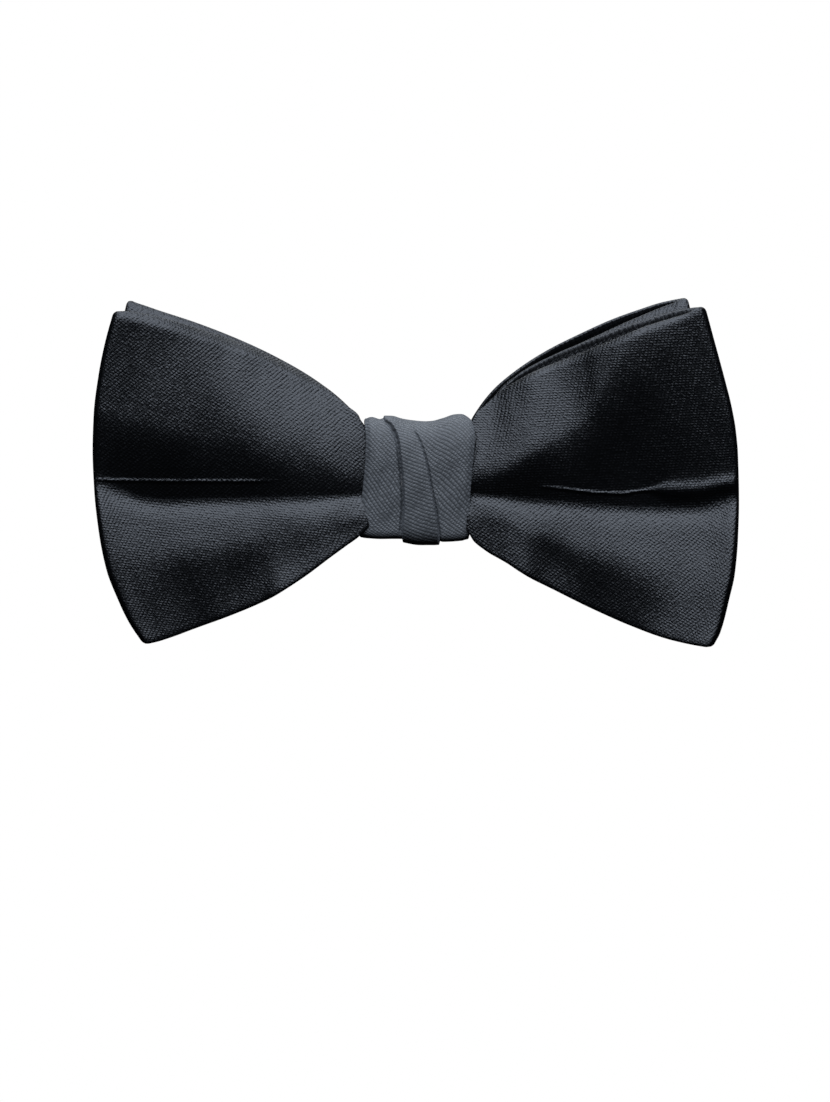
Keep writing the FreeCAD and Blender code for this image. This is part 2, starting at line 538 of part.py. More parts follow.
# Diagonal pleat across the front of the knot, as (x, z) down its left fold and up its right one.
PLEAT_LEFT = [(-6.6, 13.0), (-6.0, 11.0), (-4.6, 9.9), (-3.4, 7.7), (-2.8, 3.2), (-2.3, -0.7), (-2.2, -4.8), (-2.5, -8.8), (-2.6, -13.5)]
PLEAT_RIGHT = [(4.9, -13.5), (4.3, -11.4), (3.7, -6.8), (2.8, -2.2), (1.8, 2.7), (0.4, 7.3), (-1.2, 9.9), (-2.6, 13.0)]


def knot_wrap():
    x, t = val("wrap_half"), val("wrap_thick")
    y0, y1, z, r = val("wrap_y_front"), val("wrap_y_rear"), val("wrap_z"), val("wrap_corner")
    inner = rounded_loop(y0, y1, z, r, -x - 1, x + 1)
    outer = rounded_loop(y0 - t, y1 + t, z + t, r + t, -x, x)
    rise = val("pleat_rise")
    proud = rounded_loop(y0 - t - rise, y1 + t, z + t + 0.35, r + t + 0.3, -x, x)
    def spline(points):
        c = Part.BSplineCurve()
        c.interpolate(Points=[Vector(a, -20, b) for a, b in points])
        return c.toShape()
    l, rr = spline(PLEAT_LEFT), spline(PLEAT_RIGHT)
    w = Part.Wire(Part.__sortEdges__([
        l, Part.makeLine(Vector(PLEAT_LEFT[-1][0], -20, PLEAT_LEFT[-1][1]), Vector(PLEAT_RIGHT[0][0], -20, PLEAT_RIGHT[0][1])),
        rr, Part.makeLine(Vector(PLEAT_RIGHT[-1][0], -20, PLEAT_RIGHT[-1][1]), Vector(PLEAT_LEFT[0][0], -20, PLEAT_LEFT[0][1]))]))
    pleat = proud.common(Part.Face(w).extrude(Vector(0, 13.0, 0)))
    wrap = outer.fuse(pleat).removeSplitter().cut(inner)
    return feature("knot_wrap", wrap)


def knot_wrap_interlining():
    x, t, g = val("wrap_half") - 0.6, val("wrapcore_thick"), 0.04
    y0, y1, z, r = val("wrap_y_front") + g, val("wrap_y_rear") - g, val("wrap_z") - g, val("wrap_corner") - g
    outer = rounded_loop(y0, y1, z, r, -x, x)
    inner = rounded_loop(y0 + t, y1 - t, z - t, r - t, -x - 1, x + 1)
    return feature("knot_wrap_interlining", outer.cut(inner))


def waist_binding():
    """Thread wound round the gathered waist, each turn a closed ring."""
    d, pitch = val("thread_dia"), val("binding_pitch")
    y0, y1, z = val("front_y_front") - 0.07, val("back_y_rear") + 0.07, val("waist_half") + 0.1
    rings = []
    for k in range(-3, 4):
        xc = k * pitch
        x0, x1 = xc - d / 2, xc + d / 2
        outer = rounded_loop(y0 - d, y1 + d, z + d, 0.1 + d, x0, x1)
        inner = rounded_loop(y0, y1, z, 0.1, x0 - 1, x1 + 1)
        rings.append(outer.cut(inner))
    return feature("waist_binding_thread", Part.makeCompound(rings))


def bar(a, b, r):
    d = b - a
    return Part.makeCylinder(r, d.Length, a, d)


def staple(x, z, dx, dz, y_out, depth, r):
    """One stitch: a bar on the surface with its two ends carried down into the cloth."""
    a, b = Vector(x - dx, y_out, z - dz), Vector(x + dx, y_out, z + dz)
    s = bar(a, b, r)
    for p in (a, b):
        s = s.fuse(Part.makeSphere(r, p)).fuse(bar(p, p - Vector(0, depth, 0), r))
    return s


def knot_stitches():
    r = val("stitch_dia") / 2
    y = val("wrap_y_rear") + val("wrap_thick") + 0.12
    made = [staple(0.0, z, 0.75, 0.35, y, 0.8, r) for z in (-7.5, -5.0, -2.5, 0.0, 2.5, 5.0, 7.5)]
    return feature("knot_closing_stitches", Part.makeCompound(made))


def clip_stitches():
    """Thread through the plate's sewing holes and into the back of the waist."""
    r = val("stitch_dia") / 2
    made = []
    for sx in (-1, 1):
        x = sx * val("sew_x")
        loop = bar(Vector(x, -0.05, 0) - Vector(0, 0.75, 0), Vector(x, -0.05, 0) - Vector(0, 1.62, 0), r)
        head = Part.makeSphere(0.42, Vector(x, -0.42, 0))
        made.append(loop.fuse(head).removeSplitter())
    return feature("clip_sewing_stitches", Part.makeCompound(made))


# ---------------------------------------------------------------- build everything
subparts = [base_plate(), jaw("left", -1), jaw("right", 1), hinge_pin("left", -1), hinge_pin("right", 1),
            torsion_spring("left", -1), torsion_spring("right", 1)]
subparts += band("front")
subparts += band("back")
subparts += [knot_wrap(), knot_wrap_interlining(), waist_binding(), knot_stitches(), clip_stitches()]
doc.recompute()

for o in doc.Objects:
    if "Invalid" in o.State or "Error" in o.State:
        raise RuntimeError("%s is %s" % (o.Label, o.State))
for o in subparts:
    if o.Shape.isNull() or not o.Shape.isValid() or not o.Shape.Solids or o.Shape.Volume <= 0:
        raise RuntimeError("%s has no valid solid" % o.Label)

os.makedirs("parts", exist_ok=True)
for o in subparts:
    o.Shape.exportStep("parts/%s.step" % o.Label)
    b = o.Shape.BoundBox
    print("%-26s solids %d faces %3d volume %9.2f  x %.2f..%.2f  y %.2f..%.2f  z %.2f..%.2f" % (
        o.Label, len(o.Shape.Solids), len(o.Shape.Faces), o.Shape.Volume, b.XMin, b.XMax, b.YMin, b.YMax, b.ZMin, b.ZMax))
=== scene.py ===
import math

import bpy
import numpy as np
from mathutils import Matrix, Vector


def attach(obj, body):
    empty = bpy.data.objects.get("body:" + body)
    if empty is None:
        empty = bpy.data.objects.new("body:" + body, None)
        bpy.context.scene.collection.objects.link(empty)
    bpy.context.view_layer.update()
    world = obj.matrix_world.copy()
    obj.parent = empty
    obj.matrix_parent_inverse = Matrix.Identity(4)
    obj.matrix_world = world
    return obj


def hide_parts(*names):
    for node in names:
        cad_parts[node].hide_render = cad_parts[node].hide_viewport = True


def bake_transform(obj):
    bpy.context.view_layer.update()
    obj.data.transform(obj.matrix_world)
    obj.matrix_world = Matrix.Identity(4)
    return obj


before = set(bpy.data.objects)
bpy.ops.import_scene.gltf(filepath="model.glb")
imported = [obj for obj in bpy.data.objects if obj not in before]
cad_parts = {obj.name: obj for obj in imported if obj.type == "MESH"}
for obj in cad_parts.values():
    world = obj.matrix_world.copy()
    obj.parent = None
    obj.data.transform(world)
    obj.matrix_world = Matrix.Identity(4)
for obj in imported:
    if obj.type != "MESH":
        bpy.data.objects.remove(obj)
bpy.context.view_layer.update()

MM = 0.001


# ------------------------------------------------------------------------------------------------
# small maths
# ------------------------------------------------------------------------------------------------
def curve(table):
    """Monotone cubic through (x, y) pairs, as a function of an array."""
    xs = np.array([p[0] for p in table], float)
    ys = np.array([p[1] for p in table], float)
    h = np.diff(xs)
    d = np.diff(ys) / h
    m = np.zeros_like(xs)
    m[0], m[-1] = d[0], d[-1]
    for i in range(1, len(xs) - 1):
        if d[i - 1] * d[i] > 0:
            w0, w1 = 2 * h[i] + h[i - 1], h[i] + 2 * h[i - 1]
            m[i] = (w0 + w1) / (w0 / d[i - 1] + w1 / d[i])

    def f(x):
        x = np.clip(np.asarray(x, float), xs[0], xs[-1])
        i = np.clip(np.searchsorted(xs, x, side="right") - 1, 0, len(xs) - 2)
        t = (x - xs[i]) / h[i]
        return (ys[i] * (1 + 2 * t) * (1 - t) ** 2 + m[i] * h[i] * t * (1 - t) ** 2
                + ys[i + 1] * t * t * (3 - 2 * t) + m[i + 1] * h[i] * t * t * (t - 1))
    return f


def smoothstep(a, b, x):
    t = np.clip((np.asarray(x, float) - a) / (b - a), 0, 1)
    return t * t * (3 - 2 * t)


def unit(v):
    return v / np.maximum(np.linalg.norm(v, axis=-1, keepdims=True), 1e-12)


def waves(x, z, terms):
    out = 0.0
    for a, kx, kz, ph in terms:
        out = out + a * np.sin(kx * x + kz * z + ph)
    return out


# ------------------------------------------------------------------------------------------------
# meshes from grids
# ------------------------------------------------------------------------------------------------
def mesh_from_grid(name, grid, uv, closed_u, closed_v, material, pick=None):
    """Quads over grid[nu, nv, 3] in mm. uv has one more column or row than a closed grid has; with several sets of uv, pick says
    which set each face takes."""
    nu, nv = grid.shape[:2]
    cu, cv = (nu if closed_u else nu - 1), (nv if closed_v else nv - 1)
    i, j = np.meshgrid(np.arange(cu), np.arange(cv), indexing="ij")
    i1, j1 = (i + 1) % nu, (j + 1) % nv
    faces = np.stack([i * nv + j, i1 * nv + j, i1 * nv + j1, i * nv + j1], -1).reshape(-1, 4)
    me = bpy.data.meshes.new(name)
    me.vertices.add(nu * nv)
    me.vertices.foreach_set("co", (grid.reshape(-1, 3) * MM).astype(np.float32).ravel())
    me.loops.add(len(faces) * 4)
    me.loops.foreach_set("vertex_index", faces.astype(np.int32).ravel())
    me.polygons.add(len(faces))
    me.polygons.foreach_set("loop_start", np.arange(0, len(faces) * 4, 4, dtype=np.int32))
    me.polygons.foreach_set("use_smooth", np.ones(len(faces), bool))
    if uv is not None:
        layer = me.uv_layers.new(name="weave")
        a, b = i + 1, j + 1
        if uv.ndim == 4:
            corners = np.stack([uv[pick, i, j], uv[pick, a, j], uv[pick, a, b], uv[pick, i, b]], 2).reshape(-1, 2)
        else:
            corners = np.stack([uv[i, j], uv[a, j], uv[a, b], uv[i, b]], 2).reshape(-1, 2)
        layer.data.foreach_set("uv", corners.astype(np.float32).ravel())
    me.update()
    me.validate()
    ob = bpy.data.objects.new(name, me)
    bpy.context.scene.collection.objects.link(ob)
    me.materials.append(material)
    return ob


def join_meshes(name, objects):
    bpy.ops.object.select_all(action="DESELECT")
    for o in objects:
        o.select_set(True)
    bpy.context.view_layer.objects.active = objects[0]
    if len(objects) > 1:
        bpy.ops.object.join()
    objects[0].name = name
    objects[0].data.name = name
    return objects[0]


def tube(name, path, radius, material, sides=10, twist=0.0, strands=0, closed=False):
    """A tube, or twisted strands, along path[n, 3] in mm."""
    p = np.array(path, float)
    n = len(p)
    if closed:
        t = unit(np.roll(p, -1, 0) - np.roll(p, 1, 0))
    else:
        t = unit(np.gradient(p, axis=0))
    ref = np.array([0.0, 0.0, 1.0]) if abs(t[0][2]) < 0.9 else np.array([1.0, 0.0, 0.0])
    a = unit(np.cross(t[0], ref))
    frames = [a]
    for k in range(1, n):
        v = frames[-1] - t[k] * np.dot(frames[-1], t[k])
        frames.append(v / np.linalg.norm(v))
    a = np.array(frames)
    b = np.cross(t, a)
    s = np.concatenate([[0], np.cumsum(np.linalg.norm(np.diff(p, axis=0), axis=1))])
    parts = []
    ang = np.linspace(0, 2 * np.pi, sides, endpoint=False)
    centres = [(p, radius)]
    if strands:
        centres = []
        for k in range(strands):
            ph = 2 * np.pi * k / strands + twist * s
            off = (a * np.cos(ph)[:, None] + b * np.sin(ph)[:, None]) * radius * 0.5
            centres.append((p + off, radius * 0.56))
    for k, (c, r) in enumerate(centres):
        g = c[:, None, :] + r * (a[:, None, :] * np.cos(ang)[None, :, None] + b[:, None, :] * np.sin(ang)[None, :, None])
        uv = np.zeros((n + 1, sides + 1, 2))
        uv[:n, :, 0] = s[:, None]
        uv[n, :, 0] = s[-1] + 0.3
        uv[:, :, 1] = np.linspace(0, 2 * np.pi * r, sides + 1)[None, :]
        parts.append(mesh_from_grid("%s_%d" % (name, k), g, uv, closed, True, material))
        if not closed:
            cap_ends(parts[-1], n, sides)
    return join_meshes(name, parts)


def cap_ends(ob, n, sides):
    import bmesh
    bm = bmesh.new()
    bm.from_mesh(ob.data)
    bm.verts.ensure_lookup_table()
    bm.faces.new([bm.verts[j] for j in range(sides)][::-1])
    bm.faces.new([bm.verts[(n - 1) * sides + j] for j in range(sides)])
    bmesh.ops.recalc_face_normals(bm, faces=bm.faces)
    bm.to_mesh(ob.data)
    bm.free()


# ------------------------------------------------------------------------------------------------
# materials
# ------------------------------------------------------------------------------------------------
class Nodes:
    def __init__(self, name):
        self.mat = bpy.data.materials.new(name)
        self.mat.use_nodes = True
        self.tree = self.mat.node_tree
        self.tree.nodes.clear()
        self.out = self.tree.nodes.new("ShaderNodeOutputMaterial")

    def new(self, kind, **props):
        node = self.tree.nodes.new(kind)
        for k, v in props.items():
            setattr(node, k, v)
        return node

    def link(self, a, b):
        self.tree.links.new(a, b)

    def math(self, op, a, b=None, c=None, clamp=False):
        n = self.new("ShaderNodeMath", operation=op, use_clamp=clamp)
        for k, v in enumerate((a, b, c)):
            if v is None:
                continue
            if isinstance(v, (int, float)):
                n.inputs[k].default_value = v
            else:
                self.link(v, n.inputs[k])
        return n.outputs[0]


def twill(name, base, groove, rough, rib, bump, specular=0.5, sheen=0.0, sheen_rough=0.4, sheen_tint=(1, 1, 1, 1),
          pitch=0.65, float_len=0.50, uneven=0.35, coat=0.0, tint=(1, 1, 1, 1), floats=1.8, speckle=4.0):
    """Satin twill from the "weave" UV map, whose U runs along the ribs and V across them, in mm."""
    n = Nodes(name)
    uvn = n.new("ShaderNodeUVMap", uv_map="weave")
    sep = n.new("ShaderNodeSeparateXYZ")
    n.link(uvn.outputs["UV"], sep.inputs[0])
    u, v = sep.outputs["X"], sep.outputs["Y"]
    # slow wander of the yarns, so the ribs are not ruled lines
    slow = n.new("ShaderNodeTexNoise", noise_dimensions="2D")
    slow.inputs["Scale"].default_value = 0.55
    slow.inputs["Detail"].default_value = 2.0
    n.link(uvn.outputs["UV"], slow.inputs["Vector"])
    v2 = n.math("ADD", v, n.math("MULTIPLY", n.math("SUBTRACT", slow.outputs["Fac"], 0.5), uneven))
    phase = n.math("DIVIDE", v2, pitch)
    saw = n.math("FRACT", phase)
    # rounded rib with a steep side: a raised half wave that leans
    lean = n.math("POWER", saw, 0.8)
    ribh = n.math("SINE", n.math("MULTIPLY", lean, math.pi))
    # each rib is a row of short floats, stepped from one rib to the next
    step = n.math("MULTIPLY", n.math("FLOOR", phase), 0.37)
    cell = n.math("ADD", n.math("DIVIDE", u, float_len), step)
    fl = n.math("SINE", n.math("MULTIPLY", n.math("FRACT", cell), math.pi))
    # every float stands a little higher or lower than the next
    ids = n.new("ShaderNodeCombineXYZ")
    n.link(n.math("FLOOR", phase), ids.inputs[0])
    n.link(n.math("FLOOR", cell), ids.inputs[1])
    own = n.new("ShaderNodeTexWhiteNoise", noise_dimensions="2D")
    n.link(ids.outputs[0], own.inputs["Vector"])
    fine = n.new("ShaderNodeTexNoise", noise_dimensions="2D")
    fine.inputs["Scale"].default_value = 2.7
    fine.inputs["Detail"].default_value = 2.0
    fine.inputs["Roughness"].default_value = 0.6
    n.link(uvn.outputs["UV"], fine.inputs["Vector"])
    # yarn to yarn differences
    grain = n.new("ShaderNodeTexNoise", noise_dimensions="3D")
    grain.inputs["Scale"].default_value = 2.6
    grain.inputs["Detail"].default_value = 3.0
    grain.inputs["Roughness"].default_value = 0.7
    comb = n.new("ShaderNodeCombineXYZ")
    n.link(n.math("MULTIPLY", u, 0.55), comb.inputs[0])
    n.link(n.math("MULTIPLY", n.math("FLOOR", phase), 0.9), comb.inputs[1])
    n.link(n.math("MULTIPLY", v, 0.35), comb.inputs[2])
    n.link(comb.outputs[0], grain.inputs["Vector"])
    each = n.math("MULTIPLY", n.math("MULTIPLY", fl, ribh), n.math("ADD", n.math("MULTIPLY", own.outputs["Value"], floats * 1.6), floats * 0.2))
    height = n.math("ADD", n.math("MULTIPLY", ribh, rib), each)
    height = n.math("ADD", height, n.math("MULTIPLY", grain.outputs["Fac"], 0.55))
    height = n.math("ADD", height, n.math("MULTIPLY", fine.outputs["Fac"], speckle))
    bmp = n.new("ShaderNodeBump")
    bmp.inputs["Strength"].default_value = bump
    bmp.inputs["Distance"].default_value = 0.00008
    n.link(height, bmp.inputs["Height"])
    ramp = n.new("ShaderNodeMix", data_type="RGBA")
    ramp.inputs["A"].default_value = (*groove, 1)
    ramp.inputs["B"].default_value = (*base, 1)
    tone = n.math("ADD", n.math("MULTIPLY", grain.outputs["Fac"], 0.9), n.math("MULTIPLY", own.outputs["Value"], 0.75))
    fac = n.math("MULTIPLY", ribh, n.math("ADD", tone, 0.15), clamp=True)
    n.link(fac, ramp.inputs["Factor"])
    r2 = n.math("ADD", rough - 0.06, n.math("MULTIPLY", grain.outputs["Fac"], 0.12))
    bsdf = n.new("ShaderNodeBsdfPrincipled")
    n.link(ramp.outputs["Result"], bsdf.inputs["Base Color"])
    n.link(r2, bsdf.inputs["Roughness"])
    n.link(bmp.outputs["Normal"], bsdf.inputs["Normal"])
    bsdf.inputs["Specular IOR Level"].default_value = specular
    bsdf.inputs["Specular Tint"].default_value = tint
    bsdf.inputs["Sheen Weight"].default_value = sheen
    bsdf.inputs["Sheen Roughness"].default_value = sheen_rough
    bsdf.inputs["Sheen Tint"].default_value = sheen_tint
    bsdf.inputs["Coat Weight"].default_value = coat
    n.link(bsdf.outputs[0], n.out.inputs["Surface"])
    return n.mat


def plain_weave(name, base, dark, rough, pitch, bump, sheen=0.0, specular=0.4):
    n = Nodes(name)
    uvn = n.new("ShaderNodeUVMap", uv_map="weave")
    sep = n.new("ShaderNodeSeparateXYZ")
    n.link(uvn.outputs["UV"], sep.inputs[0])
    a = n.math("MULTIPLY", sep.outputs["X"], math.pi / pitch)
    b = n.math("MULTIPLY", sep.outputs["Y"], math.pi / pitch)
    over = n.math("MULTIPLY", n.math("SINE", a), n.math("SINE", b))
    wa = n.math("ABSOLUTE", n.math("SINE", a))
    wb = n.math("ABSOLUTE", n.math("SINE", b))
    yarn = n.math("ADD", n.math("MULTIPLY", n.math("GREATER_THAN", over, 0.0), wa), n.math("MULTIPLY", n.math("LESS_THAN", over, 0.0), wb))
    noise = n.new("ShaderNodeTexNoise", noise_dimensions="2D")
    noise.inputs["Scale"].default_value = 1.7
    noise.inputs["Detail"].default_value = 4.0
    n.link(uvn.outputs["UV"], noise.inputs["Vector"])
    h = n.math("ADD", yarn, n.math("MULTIPLY", noise.outputs["Fac"], 0.6))
    bmp = n.new("ShaderNodeBump")
    bmp.inputs["Strength"].default_value = bump
    bmp.inputs["Distance"].default_value = 0.00005
    n.link(h, bmp.inputs["Height"])
    ramp = n.new("ShaderNodeMix", data_type="RGBA")
    ramp.inputs["A"].default_value = (*dark, 1)
    ramp.inputs["B"].default_value = (*base, 1)
    n.link(n.math("MULTIPLY", yarn, n.math("ADD", noise.outputs["Fac"], 0.4), clamp=True), ramp.inputs["Factor"])
    bsdf = n.new("ShaderNodeBsdfPrincipled")
    n.link(ramp.outputs["Result"], bsdf.inputs["Base Color"])
    n.link(bmp.outputs["Normal"], bsdf.inputs["Normal"])
    bsdf.inputs["Roughness"].default_value = rough
    bsdf.inputs["Specular IOR Level"].default_value = specular
    bsdf.inputs["Sheen Weight"].default_value = sheen
    n.link(bsdf.outputs[0], n.out.inputs["Surface"])
    return n.mat


def thread_material(name, base, dark):
    n = Nodes(name)
    uvn = n.new("ShaderNodeUVMap", uv_map="weave")
    sep = n.new("ShaderNodeSeparateXYZ")
    n.link(uvn.outputs["UV"], sep.inputs[0])
    ph = n.math("ADD", n.math("MULTIPLY", sep.outputs["X"], 26.0), n.math("MULTIPLY", sep.outputs["Y"], 30.0))
    ply = n.math("ABSOLUTE", n.math("SINE", ph))
    noise = n.new("ShaderNodeTexNoise", noise_dimensions="2D")
    noise.inputs["Scale"].default_value = 9.0
    n.link(uvn.outputs["UV"], noise.inputs["Vector"])
    bmp = n.new("ShaderNodeBump")
    bmp.inputs["Strength"].default_value = 0.5
    bmp.inputs["Distance"].default_value = 0.00004
    n.link(n.math("ADD", ply, n.math("MULTIPLY", noise.outputs["Fac"], 0.4)), bmp.inputs["Height"])
    ramp = n.new("ShaderNodeMix", data_type="RGBA")
    ramp.inputs["A"].default_value = (*dark, 1)
    ramp.inputs["B"].default_value = (*base, 1)
    n.link(ply, ramp.inputs["Factor"])
    bsdf = n.new("ShaderNodeBsdfPrincipled")
    n.link(ramp.outputs["Result"], bsdf.inputs["Base Color"])
    n.link(bmp.outputs["Normal"], bsdf.inputs["Normal"])
    bsdf.inputs["Roughness"].default_value = 0.55
    bsdf.inputs["Sheen Weight"].default_value = 0.3
    n.link(bsdf.outputs[0], n.out.inputs["Surface"])
    return n.mat


def metal(name, base, worn, rough, brush=(1.0, 14.0, 14.0), scratch=0.5, bump=0.12):
    """Plated pressed steel: fine brushed marks, a few handling scratches, slightly duller in patches."""
    n = Nodes(name)
    tc = n.new("ShaderNodeTexCoord")
    mp = n.new("ShaderNodeMapping")
    mp.inputs["Scale"].default_value = brush
    n.link(tc.outputs["Object"], mp.inputs["Vector"])
    br = n.new("ShaderNodeTexNoise")
    br.inputs["Scale"].default_value = 900.0
    br.inputs["Detail"].default_value = 4.0
    br.inputs["Roughness"].default_value = 0.65
    n.link(mp.outputs[0], br.inputs["Vector"])
    patch = n.new("ShaderNodeTexNoise")
    patch.inputs["Scale"].default_value = 260.0
    patch.inputs["Detail"].default_value = 3.0
    n.link(tc.outputs["Object"], patch.inputs["Vector"])
    ramp = n.new("ShaderNodeMix", data_type="RGBA")
    ramp.inputs["A"].default_value = (*worn, 1)
    ramp.inputs["B"].default_value = (*base, 1)
    f = n.math("ADD", n.math("MULTIPLY", br.outputs["Fac"], 0.6), n.math("MULTIPLY", patch.outputs["Fac"], 0.6), clamp=True)
    n.link(f, ramp.inputs["Factor"])
    rr = n.math("ADD", rough - 0.1, n.math("MULTIPLY", n.math("ADD", n.math("MULTIPLY", br.outputs["Fac"], scratch), n.math("MULTIPLY", patch.outputs["Fac"], 1 - scratch)), 0.22))
    bmp = n.new("ShaderNodeBump")
    bmp.inputs["Strength"].default_value = bump
    bmp.inputs["Distance"].default_value = 0.00002
    n.link(br.outputs["Fac"], bmp.inputs["Height"])
    bsdf = n.new("ShaderNodeBsdfPrincipled")
    n.link(ramp.outputs["Result"], bsdf.inputs["Base Color"])
    n.link(rr, bsdf.inputs["Roughness"])
    n.link(bmp.outputs["Normal"], bsdf.inputs["Normal"])
    bsdf.inputs["Metallic"].default_value = 1.0
    n.link(bsdf.outputs[0], n.out.inputs["Surface"])
    return n.mat


def pale(name, colour, rough=0.9):
    n = Nodes(name)
    tc = n.new("ShaderNodeTexCoord")
    noise = n.new("ShaderNodeTexNoise")
    noise.inputs["Scale"].default_value = 3.0
    n.link(tc.outputs["Object"], noise.inputs["Vector"])
    ramp = n.new("ShaderNodeMix", data_type="RGBA")
    ramp.inputs["A"].default_value = (*[c * 0.985 for c in colour], 1)
    ramp.inputs["B"].default_value = (*colour, 1)
    n.link(noise.outputs["Fac"], ramp.inputs["Factor"])
    bsdf = n.new("ShaderNodeBsdfPrincipled")
    n.link(ramp.outputs["Result"], bsdf.inputs["Base Color"])
    bsdf.inputs["Roughness"].default_value = rough
    n.link(bsdf.outputs[0], n.out.inputs["Surface"])
    return n.mat


SATIN = twill("satin_twill", (0.0020, 0.0023, 0.0030), (0.0012, 0.0014, 0.0018), 0.33, 0.62, 0.30, specular=0.62, tint=(0.90, 0.94, 1.0, 1))
# the knot wrap is the same black satin as the wings; its far lighter base and groove colours are painted sheen,
# standing in for the highlight its crosswise twill catches from the overhead light
KNOT_SATIN_PAINTED_SHEEN = twill("satin_twill_knot_painted_sheen", (0.136, 0.147, 0.160), (0.038, 0.042, 0.047), 0.55, 0.8, 0.42, specular=0.5,
                   sheen=0.10, sheen_rough=0.45, sheen_tint=(0.80, 0.86, 1.0, 1), pitch=0.66, floats=1.6, speckle=2.4)
LINING = plain_weave("satin_lining", (0.022, 0.024, 0.030), (0.010, 0.011, 0.014), 0.42, 0.24, 0.4)
CANVAS = plain_weave("interlining_canvas", (0.20, 0.20, 0.205), (0.10, 0.10, 0.105), 0.9, 0.45, 0.8, specular=0.2)
THREAD = thread_material("black_thread", (0.030, 0.031, 0.036), (0.010, 0.010, 0.012))
NICKEL = metal("nickel_plate", (0.66, 0.65, 0.62), (0.52, 0.51, 0.49), 0.30)
PIN_STEEL = metal("turned_steel", (0.58, 0.58, 0.58), (0.45, 0.45, 0.46), 0.26, brush=(14.0, 14.0, 1.0))
SPRING = metal("spring_wire", (0.40, 0.40, 0.41), (0.27, 0.27, 0.28), 0.34, brush=(4.0, 4.0, 4.0))

# ------------------------------------------------------------------------------------------------
# the two bows: measured outlines, in mm
# ------------------------------------------------------------------------------------------------
F_REACH = {
    -1: [(-33, 49.0), (-30.6, 50.8), (-26.7, 53.4), (-22.3, 55.5), (-17.1, 57.5), (-9.6, 59.0), (-2.2, 59.8), (5.2, 60.1), (11.7, 59.9), (19.1, 59.0), (24.7, 57.9), (30.6, 56.3), (34, 55.3)],
    1: [(-33, 54.6), (-31.0, 55.3), (-28.9, 56.4), (-22.3, 58.2), (-17.8, 59.2), (-11.1, 59.8), (-4.5, 60.0), (4.5, 59.8), (8.9, 59.4), (13.4, 58.6), (17.8, 57.5), (22.3, 56.3), (26.7, 55.1), (30.8, 54.0), (34, 53.1)],
}
B_REACH = {
    -1: [(-33, 48.0), (-28, 51.0), (-22.3, 54.8), (-17.1, 56.9), (-9.6, 58.6), (-4, 59.3), (1, 59.6), (8, 59.0), (16, 57.6), (24.7, 55.7), (33.0, 53.9), (35, 53.3)],
    1: [(-33, 51.5), (-28, 54.0), (-22.3, 56.0), (-15, 57.8), (-7, 58.5), (0, 58.4), (8, 57.6), (16, 55.9), (24.7, 53.4), (31.0, 51.3), (33.0, 50.8), (35, 50.2)],
}
